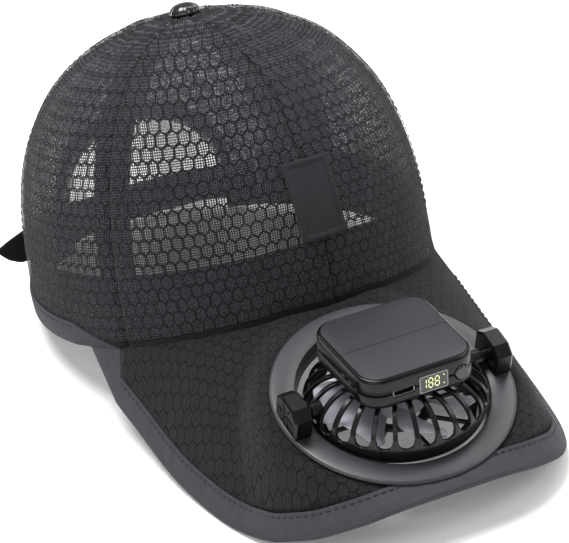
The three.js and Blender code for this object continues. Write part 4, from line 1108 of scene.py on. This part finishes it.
STRAP_FACE = CROWN_CLOTH + CLEARANCE * 2
OVER_PANEL = -CLEARANCE * 4 - TAPE_THICKNESS - STRAP_THICKNESS
STRAP_END_TURN = SWEATBAND_END_TURN + 2
FAR_TURN = 360 - OPENING_TURN
OUTER_STRAP = np.array([
    # turn, depth inside the crown's face, share of the strap's height, lift of its middle line.
    # The last five rows are the free end, which stands off the crown and narrows to a point.
    (STRAP_END_TURN, STRAP_FACE, 1, 0),
    (OPENING_TURN, STRAP_FACE, 1, 0),
    (OPENING_TURN + 8, 0, 1, 0),
    (170, -CLEARANCE, 1, 0),
    (180, -CLEARANCE, 1, 0),
    (190, -CLEARANCE, 1, 0),
    (FAR_TURN - 6, OVER_PANEL, 1, 0),
    (FAR_TURN, OVER_PANEL, 1, 0),
    (FAR_TURN + 8, OVER_PANEL - 0.5, 1, 0),
    (FAR_TURN + 15, OVER_PANEL - 2.5, 0.95, 0.5),
    (FAR_TURN + 20, OVER_PANEL - 6, 0.8, 0.5),
    (FAR_TURN + 23, OVER_PANEL - 9.5, 0.5, 1.5),
    (FAR_TURN + 25, OVER_PANEL - 12.5, 0.1, 3),
])
outer_turns = np.linspace(STRAP_END_TURN, OUTER_STRAP[-1, 0], 120)
strap("strap_outer", outer_turns,
      *[np.interp(outer_turns, OUTER_STRAP[:, 0], OUTER_STRAP[:, k]) for k in (1, 2, 3)])
inner_turns = np.linspace(360 - STRAP_END_TURN, OPENING_TURN + 12, 50)
strap("strap_inner", inner_turns, 0 * inner_turns + STRAP_FACE, 1 + 0 * inner_turns, 0 * inner_turns)


# Front patch: bare, with a raised border round a lower field
PATCH_COLUMNS = 36
PATCH_ROWS = 54
BORDER_RISE = 0.5
BORDER_SLOPE = 0.6
EDGE_DROP = 0.35
EDGE_REACH = 0.5


def patch_grid():
    """The patch's outer and inner points, and their flat places."""
    across = np.linspace(-1, 1, PATCH_COLUMNS + 1)[:, None]
    heights = np.linspace(PATCH_LOW, PATCH_HIGH, PATCH_ROWS + 1)[None, :]
    rises = rise_at(heights) + 0 * across
    turns = seam_turn(0, rises) + np.degrees(across * PATCH_WIDTH / 2 / crown_reach(rises))
    from_side = (1 - np.abs(across)) * PATCH_WIDTH / 2
    from_end = np.minimum(heights - PATCH_LOW, PATCH_HIGH - heights)
    from_edge = np.minimum(from_side, from_end)
    proud = CLEARANCE + PATCH_THICKNESS
    proud = proud + BORDER_RISE * ease((PATCH_BORDER + EDGE_REACH - from_edge) / BORDER_SLOPE)
    proud = proud - EDGE_DROP * ease((EDGE_REACH - from_edge) / EDGE_REACH)
    uvs = np.stack(np.broadcast_arrays(across * PATCH_WIDTH / 2, heights), -1)
    return crown_point(turns, rises, proud), crown_point(turns, rises, CLEARANCE + 0 * proud), uvs


patch_outer, patch_inner, patch_uv = patch_grid()
patch = grid_shell("cloth_front_patch", patch_outer, patch_inner, CAP, patch_uv)
sharpen(patch, 50)
finish_piece(patch, "root", "front_patch", material=PATCH, slot="grey_binding")

# Top button: a glossy dome with six soft lobes
BUTTON_SIDES = 96
BUTTON_ROWS = 14
BUTTON_LOBES = 6
LOBE_DEPTH = 0.06
button_rings = []
for angle in np.radians(np.linspace(0, 360, BUTTON_SIDES, endpoint=False)):
    lobe = 1 - LOBE_DEPTH * math.cos(angle * BUTTON_LOBES) ** 2
    profile = [(0, 0), (BUTTON_RADIUS * 0.9, 0)]
    profile += [(BUTTON_RADIUS * lobe * math.cos(a) ** 0.85, BUTTON_HEIGHT * math.sin(a))
                for a in np.linspace(0.05, math.pi / 2, BUTTON_ROWS)]
    button_rings.append([(radius * math.cos(angle), radius * math.sin(angle) - BUTTON_FORWARD,
                          height + CROWN_HEIGHT + CLEARANCE) for radius, height in profile])
button = swept("cloth_top_button", np.array(button_rings), CAP, closed=True)
merge_points(button)
finish_piece(button, "root", "top_button", material=GLOSS, slot="gloss_button")

# Fan ring: a broad flat flange, a collar through the peak and an inner ledge
ledge_top = LEDGE_THICKNESS - COLLAR_DEPTH
ring_profile = [
    # radius, height
    (RING_INNER_RADIUS + 0.5, 0), (RING_INNER_RADIUS + 0.15, -0.15), (RING_INNER_RADIUS, -0.5),
    (RING_INNER_RADIUS, ledge_top), (LEDGE_RADIUS + 0.3, ledge_top), (LEDGE_RADIUS, ledge_top - 0.3),
    (LEDGE_RADIUS, -COLLAR_DEPTH), (COLLAR_RADIUS, -COLLAR_DEPTH), (COLLAR_RADIUS, -RING_THICKNESS),
    (RING_RADIUS - 0.2, -RING_THICKNESS), (RING_RADIUS, -RING_THICKNESS + 0.2),
    (RING_RADIUS, -RING_THICKNESS * 0.55), (RING_RADIUS - 0.2, -RING_THICKNESS * 0.3),
    (RING_RADIUS - 0.6, -0.12), (RING_RADIUS - 1.1, 0), (RING_RADIUS - 5, 0.02),
]
ring = lathe("fan_ring_moulding", ring_profile, RING, sides=180)
sharpen(ring, 40)
finish_piece(ring, "root", "fan_ring", material=GREY, slot="grey_plastic")


def smooth_profile(points, count):
    """Evenly spaced points on a smooth line through (radius, height) points."""
    line, length = smooth_curve(points, 60)
    spots = np.linspace(0, length[-1], count)
    return np.stack([np.interp(spots, length, line[:, k]) for k in (0, 1)], -1)


# Cage: a ribbed dome whose slots have rounded ends, down to a smooth rim
CAGE_ROWS = (
    # share of the cage's radius, height in mm
    (0.46, CAGE_TOP),
    (0.58, CAGE_TOP),
    (0.69, 0.95 * CAGE_TOP),
    (0.79, 0.77 * CAGE_TOP),
    (0.885, 0.42 * CAGE_TOP),
    (0.95, 0.05 * CAGE_TOP),
    (0.985, -0.2 * CAGE_BOTTOM),
    (1, -0.44 * CAGE_BOTTOM),
    (0.978, -0.74 * CAGE_BOTTOM),
    (0.93, -CAGE_BOTTOM),
)
CAGE_LINE = smooth_profile([(reach * CAGE_RADIUS, height) for reach, height in CAGE_ROWS], 400)
cage_tangent = unit(np.gradient(CAGE_LINE, axis=0))
CAGE_INNER_LINE = CAGE_LINE + CAGE_WALL * np.stack([cage_tangent[:, 1], -cage_tangent[:, 0]], -1)
CAGE_LENGTH = np.linalg.norm(np.diff(CAGE_LINE, axis=0), axis=1).sum()
# Where the slots start and end, as shares of the line, and the cage's radius there, as shares of its own
SLOT_START = 0.137
SLOT_END = 0.765
SLOT_START_REACH = 0.62
SLOT_END_REACH = 0.98
SLOT_COLUMNS = 10
ROWS_ABOVE_SLOTS = 6
ROWS_OF_SLOTS = 22
ROWS_BELOW_SLOTS = 8
SLOT_PITCH = 360 / CAGE_SLOTS


def slot_rounding(reach):
    """Half of a slot's width where the cage has a reach, as a share of the line."""
    return (math.radians(SLOT_PITCH) * reach * CAGE_RADIUS - RIB_WIDTH) / 2 / CAGE_LENGTH


def cage_grid(line):
    """Points of one face of the cage, round its turns, and which cells are kept between the slots."""
    columns, keep = [], []
    line_shares = np.linspace(0, 1, len(line))
    for slot in range(CAGE_SLOTS):
        for k in range(SLOT_COLUMNS + 1):
            across = -1 + 2 * k / SLOT_COLUMNS
            arc = 1 - math.sqrt(max(0, 1 - across ** 2))
            start = SLOT_START + slot_rounding(SLOT_START_REACH) * arc
            end = SLOT_END - slot_rounding(SLOT_END_REACH) * arc
            shares = np.concatenate([
                np.linspace(0, start, ROWS_ABOVE_SLOTS, endpoint=False),
                np.linspace(start, end, ROWS_OF_SLOTS, endpoint=False),
                np.linspace(end, 1, ROWS_BELOW_SLOTS),
            ])
            radius, height = (np.interp(shares, line_shares, line[:, a]) for a in (0, 1))
            half = SLOT_PITCH / 2 - np.degrees(RIB_WIDTH / 2 / radius)
            angles = np.radians(slot * SLOT_PITCH + across * half)
            columns.append(np.stack([radius * np.cos(angles), radius * np.sin(angles), height], -1))
            cells = np.ones(len(shares) - 1, bool)
            if k < SLOT_COLUMNS:
                cells[ROWS_ABOVE_SLOTS:ROWS_ABOVE_SLOTS + ROWS_OF_SLOTS] = False
            keep.append(cells)
    return np.array(columns), np.array(keep)


cage_outer, cage_keep = cage_grid(CAGE_LINE)
cage_inner, _ = cage_grid(CAGE_INNER_LINE)
cage = grid_shell("fan_cage", cage_outer, cage_inner, HEAD, wrap=True, keep=cage_keep)
sharpen(cage, 40)
soften(cage, 0.3, 2)
finish_piece(cage, "fan_head", "cage", material=SATIN, slot="black_plastic")

# Axle stubs, each with a small collar at the cage
AXLE_COLLAR_RADIUS = 3.4
AXLE_EDGE = 0.3
for word, side in SIDES.items():
    stub = [
        # radius, place along the hinge's line
        (0, CAGE_RADIUS - 4), (AXLE_COLLAR_RADIUS, CAGE_RADIUS - 4), (AXLE_COLLAR_RADIUS, CAGE_RADIUS + 0.7),
        (AXLE_COLLAR_RADIUS - AXLE_EDGE, CAGE_RADIUS + 1), (AXLE_RADIUS, CAGE_RADIUS + 1),
        (AXLE_RADIUS, POST_INNER_FACE + AXLE_SINK - AXLE_EDGE),
        (AXLE_RADIUS - AXLE_EDGE, POST_INNER_FACE + AXLE_SINK), (0, POST_INNER_FACE + AXLE_SINK),
    ]
    axle = lathe(f"axle_{word}", [(radius, along * side) for radius, along in stub], HEAD, sides=48,
                 axis_to=TO_SIDE)
    sharpen(axle, 40)
    finish_piece(axle, "fan_head", material=SATIN)


# Six raised spokes on each post's outer face
SPOKE_LENGTH = 5.4
SPOKE_WIDTH = 0.9
SPOKE_PROUD = 0.3
SPOKE_SINK = 0.3
SPOKE_LEVEL = POST_HEIGHT / 2
SPOKE_CORNERS = ((-SPOKE_LENGTH, -SPOKE_WIDTH / 2), (SPOKE_LENGTH, -SPOKE_WIDTH / 2),
                 (SPOKE_LENGTH, SPOKE_WIDTH / 2), (-SPOKE_LENGTH, SPOKE_WIDTH / 2))
post_face = POST_INNER_FACE + POST_WIDTH
for word, side in SIDES.items():
    spokes = []
    for angle in (0, 60, 120):
        c, s = math.cos(math.radians(angle)), math.sin(math.radians(angle))
        flat = [(c * a - s * b, s * a + c * b) for a, b in SPOKE_CORNERS]
        rings = np.array([[(side * x, y - HINGE_FORWARD, z + SPOKE_LEVEL) for y, z in flat]
                          for x in (post_face - SPOKE_SINK, post_face + SPOKE_PROUD)])
        spokes.append(swept(f"spoke_{angle}", rings, RING))
    add_meshes(spokes[0], spokes[1:])
    spokes[0].name = f"post_spokes_{word}"
    finish_piece(spokes[0], "root", material=BLACK)


# Fan wheel: a hub with a rounded edge, and curved blades that thin towards their tips
MOTOR_LOW = CAGE_TOP - MOTOR_HEIGHT
HUB_TOP = MOTOR_LOW - CLEARANCE
HUB_LOW = HUB_TOP - HUB_HEIGHT
hub = lathe("fan_wheel", [
    # radius, height
    (0, HUB_LOW), (HUB_RADIUS - 1.4, HUB_LOW), (HUB_RADIUS - 0.4, HUB_LOW + 0.4), (HUB_RADIUS, HUB_LOW + 1.4),
    (HUB_RADIUS, HUB_TOP - 0.8), (HUB_RADIUS - 0.3, HUB_TOP - 0.2), (HUB_RADIUS - 0.9, HUB_TOP), (0, HUB_TOP),
], HEAD, sides=72)
BLADE_ACROSS = 16
BLADE_ALONG = 14
BLADE_ROOT = HUB_RADIUS * 0.85
BLADE_TIP_FROM = 0.8
BLADE_TIP_NARROWS = 0.35
BLADE_LEAD = 10
BLADE_CAMBER = 0.8
BLADE_ROOT_HALF = 0.55
BLADE_TIP_HALF = 0.35
out = np.linspace(0, 1, BLADE_ALONG + 1)[:, None]
across = np.linspace(0, 1, BLADE_ACROSS + 1)[None, :]
tip_round = 1 - BLADE_TIP_NARROWS * np.clip((out - BLADE_TIP_FROM) / (1 - BLADE_TIP_FROM), 0, 1) ** 2
blade_radius = mix(BLADE_ROOT, BLADE_RADIUS, out) + 0 * across
blade_level = mix(HUB_TOP - 1, HUB_LOW + 0.4, across) + BLADE_CAMBER * np.sin(across * math.pi) * out
blade_half = mix(BLADE_ROOT_HALF, BLADE_TIP_HALF, out) * np.sqrt(np.clip(1 - (2 * across - 1) ** 2, 0.05, 1))
blades = []
for index in range(BLADE_COUNT):
    angle = index * 360 / BLADE_COUNT + (across - 0.5) * BLADE_SWEEP * tip_round + BLADE_LEAD * out
    angle = np.radians(angle)
    faces = [np.stack([blade_radius * np.cos(angle), blade_radius * np.sin(angle), blade_level + half], -1)
             for half in (blade_half, -blade_half)]
    blades.append(grid_shell(f"blade_{index}", *faces, HEAD))
add_meshes(hub, blades)
sharpen(hub, 45)
finish_piece(hub, "rotor", "rotor", material=BLADE, slot="blade_plastic")


# Rounded slabs for the case and the solar panel
CORNER_POINTS = 14


def rounded_outline(width, depth, corner):
    x, y = width / 2 - corner, depth / 2 - corner
    points = []
    for cx, cy, first in ((x, -y, -90), (x, y, 0), (-x, y, 90), (-x, -y, 180)):
        for angle in np.radians(np.linspace(first, first + 90, CORNER_POINTS)):
            points.append((cx + corner * math.cos(angle), cy + corner * math.sin(angle)))
    return np.array(points)


def slab(name, width, depth, corner, levels, uvs=False, turned=None):
    """A rounded slab in the fan head's frame, through levels of (height, inset of its outline)."""
    rings = []
    for height, inset in levels:
        loop = rounded_outline(width - 2 * inset, depth - 2 * inset, max(corner - inset, 0.2))
        rings.append(np.column_stack([loop, np.full(len(loop), float(height))]))
    rings = np.array(rings)
    flat = rings[..., :2] if uvs else None
    if turned is not None:
        rings = rings @ np.array(turned[0], float) + np.array(turned[1], float)
    return swept(name, rings, HEAD, uvs=flat)


CASE_BOTTOM = CAGE_TOP + CLEARANCE
CASE_TOP = CASE_BOTTOM + CASE_HEIGHT
CASE_MIDDLE = CASE_BOTTOM + CASE_SPLIT
CASE_FRONT = -CASE_DEPTH / 2
SOLAR_LOW = CASE_TOP + SOLAR_PROUD - SOLAR_THICKNESS
SOLAR_HIGH = CASE_TOP + SOLAR_PROUD
POCKET_SLACK = 0.25
CUT_AHEAD = 2
PORT_CORNER = 1.2
WINDOW_DEPTH = 1.3
WINDOW_CORNER = 0.7
PUSH_DEPTH = 2.8
BASE_LEVELS = (
    # height, inset of the outline: a rounded bottom edge, and a fine groove where the halves meet
    (CASE_BOTTOM, 2.2), (CASE_BOTTOM + 0.15, 1.5), (CASE_BOTTOM + 0.6, 0.75), (CASE_BOTTOM + 1.4, 0.2),
    (CASE_BOTTOM + 2.2, 0), (CASE_MIDDLE - 0.45, 0), (CASE_MIDDLE - 0.22, 0.12), (CASE_MIDDLE - 0.15, 0.3),
)
LID_LEVELS = (
    (CASE_MIDDLE + 0.15, 0.3), (CASE_MIDDLE + 0.22, 0.12), (CASE_MIDDLE + 0.45, 0), (CASE_TOP - 1.8, 0),
    (CASE_TOP - 1.2, 0.08), (CASE_TOP - 0.5, 0.4), (CASE_TOP - 0.12, 0.85), (CASE_TOP, 1.2),
)
PUSH_PLACE = (head_turn, head_turn @ np.array([PUSH_SIDE, CASE_FRONT, CASE_MIDDLE]) + head_origin)


def on_front(side, up=0.0):
    return (side, CASE_FRONT, CASE_MIDDLE + up)


def standing(loop, side, depth):
    """An outline stood up at a depth behind the case's front."""
    depths = np.full(len(loop), CASE_FRONT + depth)
    return np.column_stack([loop[:, 0] + side, depths, loop[:, 1] + CASE_MIDDLE])


def front_cutters():
    """Closed shapes that cut the port, the display's window and the button's hole into the front."""
    port = slab("port_cut", PORT_WIDTH + CLEARANCE, PORT_HEIGHT + CLEARANCE, PORT_CORNER + 0.1,
                [(-CUT_AHEAD, 0), (PORT_DEPTH, 0)], turned=(INTO_FRONT, on_front(PORT_SIDE)))
    window = slab("window_cut", DISPLAY_WIDTH + CLEARANCE, DISPLAY_HEIGHT + CLEARANCE, WINDOW_CORNER + 0.2,
                  [(-CUT_AHEAD, 0), (WINDOW_DEPTH, 0)], turned=(INTO_FRONT, on_front(DISPLAY_SIDE)))
    hole_radius = PUSH_RADIUS + CLEARANCE
    push_hole = lathe("push_cut", [(0, -CUT_AHEAD), (hole_radius, -CUT_AHEAD), (hole_radius, PUSH_DEPTH),
                                   (0, PUSH_DEPTH)], PUSH_PLACE, sides=48, axis_to=INTO_FRONT)
    return [port, window, push_hole]


case_base = slab("case_lower_half", CASE_WIDTH, CASE_DEPTH, CASE_CORNER, BASE_LEVELS)
carve(case_base, front_cutters())
case_lid = slab("case_upper_half", CASE_WIDTH, CASE_DEPTH, CASE_CORNER, LID_LEVELS)
solar_width = CASE_WIDTH - 2 * SOLAR_MARGIN
solar_depth = CASE_DEPTH - 2 * SOLAR_MARGIN
solar_corner = CASE_CORNER - SOLAR_MARGIN
pocket = slab("solar_pocket", solar_width + 2 * POCKET_SLACK, solar_depth + 2 * POCKET_SLACK,
              solar_corner + POCKET_SLACK, [(SOLAR_LOW - POCKET_SLACK, 0), (CASE_TOP + CUT_AHEAD, 0)])
carve(case_lid, front_cutters() + [pocket])
for half, node_name in ((case_base, "case_base"), (case_lid, "case_lid")):
    half.data.polygons.foreach_set("use_smooth", [True] * len(half.data.polygons))
    sharpen(half, 30)
    finish_piece(half, "fan_head", node_name, material=BLACK, slot="black_plastic")

solar = slab("solar_glass_panel", solar_width, solar_depth, solar_corner,
             [(SOLAR_LOW, 0), (SOLAR_HIGH - 0.45, 0), (SOLAR_HIGH - 0.12, 0.15), (SOLAR_HIGH, 0.5)], uvs=True)
sharpen(solar, 25)
finish_piece(solar, "fan_head", "solar_panel", material=SOLAR, slot="solar_glass")

# Display: a window with a light bezel, three lit digits and two lit dots
GLASS_SINK = 0.05
BEZEL_WIDTH = 0.45
BEZEL_PROUD = 0.28
screen = slab("display_window", DISPLAY_WIDTH, DISPLAY_HEIGHT, WINDOW_CORNER,
              [(-1, 0), (-GLASS_SINK, 0), (0.1, 0.15)], turned=(OUT_OF_FRONT, on_front(DISPLAY_SIDE)))
sharpen(screen, 25)
finish_piece(screen, "fan_head", "display", material=SCREEN, slot="display_glass")

bezel_outer = rounded_outline(DISPLAY_WIDTH, DISPLAY_HEIGHT, WINDOW_CORNER)
bezel_inner = rounded_outline(DISPLAY_WIDTH - 2 * BEZEL_WIDTH, DISPLAY_HEIGHT - 2 * BEZEL_WIDTH, 0.4)
bezel_rings = np.array([standing(loop, DISPLAY_SIDE, -proud) for loop, proud in (
    (bezel_outer, GLASS_SINK), (bezel_outer, BEZEL_PROUD),
    (bezel_inner, BEZEL_PROUD), (bezel_inner, GLASS_SINK))])
bezel = swept("display_bezel", bezel_rings.transpose(1, 0, 2), HEAD, closed=True)
sharpen(bezel, 35)
finish_piece(bezel, "fan_head", material=BEZEL)

DIGIT_WIDTH = 1.7
DIGIT_HEIGHT = 4.2
DIGIT_PITCH = 2.75
DIGIT_PROUD = 0.22
DIGITS_SIDE = -1.3
DIGITS_SHOWN = "188"
UPRIGHT_WIDENS = 1.1
BAR_TIP = 0.8
DOTS_SIDE = 4.4
DOT_LEVELS = (-1.9, 1.9)
DOT_RADIUS = 0.3
DOT_PROUD = 0.2
DIGIT_BARS = {
    # place across and up, width and height, as shares of the digit's box
    "top": (0.5, 1, 0.8, 0.12),
    "middle": (0.5, 0.5, 0.8, 0.12),
    "bottom": (0.5, 0, 0.8, 0.12),
    "left_high": (0, 0.75, 0.2, 0.38),
    "left_low": (0, 0.25, 0.2, 0.38),
    "right_high": (1, 0.75, 0.2, 0.38),
    "right_low": (1, 0.25, 0.2, 0.38),
}
LIT_BARS = {"1": ("right_high", "right_low"), "8": tuple(DIGIT_BARS)}
digit_points, digit_faces = [], []


def add_lit_shape(corners, proud):
    """Adds a flat prism on the window to the digits, from (side, up) corners."""
    first, count = len(digit_points), len(corners)
    for y in (CASE_FRONT - proud, CASE_FRONT - GLASS_SINK):
        digit_points.extend((side, y, up) for side, up in corners)
    digit_faces.append([first + k for k in range(count)])
    digit_faces.append([first + 2 * count - 1 - k for k in range(count)])
    for k in range(count):
        beside = (k + 1) % count
        digit_faces.append([first + k, first + count + k, first + count + beside, first + beside])


for index, shown in enumerate(DIGITS_SHOWN):
    centre = DISPLAY_SIDE + DIGITS_SIDE + (index - 1) * DIGIT_PITCH
    for bar in LIT_BARS[shown]:
        x, z, width, height = DIGIT_BARS[bar]
        side = centre + (x - 0.5) * DIGIT_WIDTH
        up = CASE_MIDDLE + (z - 0.5) * DIGIT_HEIGHT
        hw = width * DIGIT_WIDTH / 2
        hh = height * DIGIT_HEIGHT / 2
        if width > height:
            tip = min(hw, hh) * BAR_TIP
            flat = [(-hw, 0), (-hw + tip, -hh), (hw - tip, -hh), (hw, 0), (hw - tip, hh), (-hw + tip, hh)]
        else:
            hw *= UPRIGHT_WIDENS
            tip = min(hw, hh) * BAR_TIP
            flat = [(0, -hh), (hw, -hh + tip), (hw, hh - tip), (0, hh), (-hw, hh - tip), (-hw, -hh + tip)]
        add_lit_shape([(side + dx, up + dz) for dx, dz in flat], DIGIT_PROUD)
for level in DOT_LEVELS:
    add_lit_shape([(DISPLAY_SIDE + DOTS_SIDE + DOT_RADIUS * math.cos(angle),
                    CASE_MIDDLE + level + DOT_RADIUS * math.sin(angle))
                   for angle in np.radians(np.arange(0, 360, 60))], DOT_PROUD)
digits = mesh_object("display_digits", place(digit_points, HEAD), digit_faces, smooth=False)
finish_piece(digits, "fan_head", material=LIT)

# Socket: a rounded metal tube in the case's front, with a dark tongue inside
TUBE_WALL = 0.6
TONGUE_THICKNESS = 0.8
TONGUE_RISE = 0.2
tube_outer = rounded_outline(PORT_WIDTH, PORT_HEIGHT, PORT_CORNER)
tube_lip = rounded_outline(PORT_WIDTH - 0.5, PORT_HEIGHT - 0.5, 0.95)
tube_inner = rounded_outline(PORT_WIDTH - 2 * TUBE_WALL, PORT_HEIGHT - 2 * TUBE_WALL, 0.7)
socket_rings = np.array([standing(loop, PORT_SIDE, depth) for loop, depth in (
    (tube_outer, PORT_DEPTH - 0.4), (tube_outer, 0.25), (tube_lip, 0.05), (tube_inner, 0.3),
    (tube_inner, PORT_DEPTH - 1.2))])
socket = swept("usb_socket_shell", socket_rings, HEAD)
sharpen(socket, 35)
finish_piece(socket, "fan_head", "usb_socket", material=STEEL, slot="socket_metal")
tongue = slab("usb_tongue", PORT_WIDTH - 2.6, TONGUE_THICKNESS, 0.2,
              [(1.0, 0.1), (1.2, 0), (PORT_DEPTH - 1.4, 0)],
              turned=(INTO_FRONT, on_front(PORT_SIDE, TONGUE_RISE)))
finish_piece(tongue, "fan_head", material=INK)

# Power button: a round cap with a rounded edge and a slightly hollow face
push = lathe("power_button_cap", [
    # radius, depth behind the case's front
    (0, 1.9), (PUSH_RADIUS, 1.9), (PUSH_RADIUS, -PUSH_PROUD + 0.5), (PUSH_RADIUS - 0.2, -PUSH_PROUD + 0.15),
    (PUSH_RADIUS - 0.6, -PUSH_PROUD), (PUSH_RADIUS - 1.6, -PUSH_PROUD + 0.1), (0, -PUSH_PROUD + 0.16),
], PUSH_PLACE, sides=64, axis_to=INTO_FRONT)
sharpen(push, 40)
finish_piece(push, "power_button", "power_button", material=GLOSS, slot="gloss_button")

# CAD parts whose shapes are right get rounded edges and real materials
CAD_FINISHES = (
    # node, material, width of the rounded edges
    ("post_left", BLACK, 0.35),
    ("post_right", BLACK, 0.35),
    ("motor", BLACK, 0.4),
    ("under_ring", GREY, 0.3),
    ("lower_grille", SATIN, 0.25),
)
for node_name, material, width in CAD_FINISHES:
    part = frame["nodes"][node_name]
    if part.material_slots:
        part.material_slots[0].material = material
    else:
        part.data.materials.append(material)
    part.data.polygons.foreach_set("use_smooth", [True] * len(part.data.polygons))
    sharpen(part, 30)
    soften(part, width, 2, 25)

# Floor, lights and camera
FLOOR_HALF = 4
floor_corners = [(x * FLOOR_HALF, y * FLOOR_HALF, 0) for x, y in ((-1, -1), (1, -1), (1, 1), (-1, 1))]
floor = mesh_object("floor", floor_corners, [(0, 1, 2, 3)], smooth=False)
floor_look = Look("white_paper", "#f2f2f2", 0.75, Emission_Color=(1, 1, 1, 1), Emission_Strength=0.12)
cloudy = floor_look.noise(floor_look.place_mm(), 400.0)
floor_look.set("Base Color", floor_look.blend(cloudy, "#efefef", "#f6f6f6"))
floor.data.materials.append(floor_look.material)

world = bpy.data.worlds.new("studio")
bpy.context.scene.world = world
world.use_nodes = True
world.node_tree.nodes["Background"].inputs[0].default_value = (1, 1, 1, 1)
world.node_tree.nodes["Background"].inputs[1].default_value = 0.4
bpy.context.scene.view_settings.view_transform = "Standard"

LIGHTS = (
    # name, place in metres, size in metres, power in watts
    ("overhead", (-0.3, 0.3, 1.9), 1.2, 50),
    ("window", (1.5, 0.67, 1.8), 1.2, 14),
    ("key", (1.3, -0.7, 1.1), 0.9, 8),
    ("fill", (-1.3, -1.2, 1.2), 1.6, 9),
    ("edge", (-0.8, 1.35, 0.62), 0.25, 1.5),
)
LIT_SPOT = Vector((0, 0, 0.06))
for name, spot, size, power in LIGHTS:
    lamp = bpy.data.lights.new(name, "AREA")
    lamp.shape = "DISK"
    lamp.size = size
    lamp.energy = power
    holder = bpy.data.objects.new(name, lamp)
    holder.location = spot
    holder.rotation_euler = (LIT_SPOT - Vector(spot)).to_track_quat("-Z", "Y").to_euler()
    bpy.context.scene.collection.objects.link(holder)

azimuth, elevation, roll = (math.radians(a) for a in (CAMERA_AZIMUTH, CAMERA_ELEVATION, CAMERA_ROLL))
back = Vector((math.sin(azimuth) * math.cos(elevation), -math.cos(azimuth) * math.cos(elevation),
               math.sin(elevation)))
level_right = Vector((math.cos(azimuth), math.sin(azimuth), 0))
camera_right = math.cos(roll) * level_right + math.sin(roll) * back.cross(level_right)
camera_up = back.cross(camera_right)
aim = Vector(place(np.array(CAMERA_AIM), CAP))
lens = bpy.data.cameras.new("camera")
lens.lens = CAMERA_LENS
lens.sensor_width = 36
lens.clip_start = 0.05
lens.clip_end = 20
camera = bpy.data.objects.new("camera", lens)
turned = Matrix((camera_right, camera_up, back)).transposed().to_4x4()
camera.matrix_world = Matrix.Translation(aim + back * CAMERA_DISTANCE * MM) @ turned
bpy.context.scene.collection.objects.link(camera)
bpy.context.scene.camera = camera
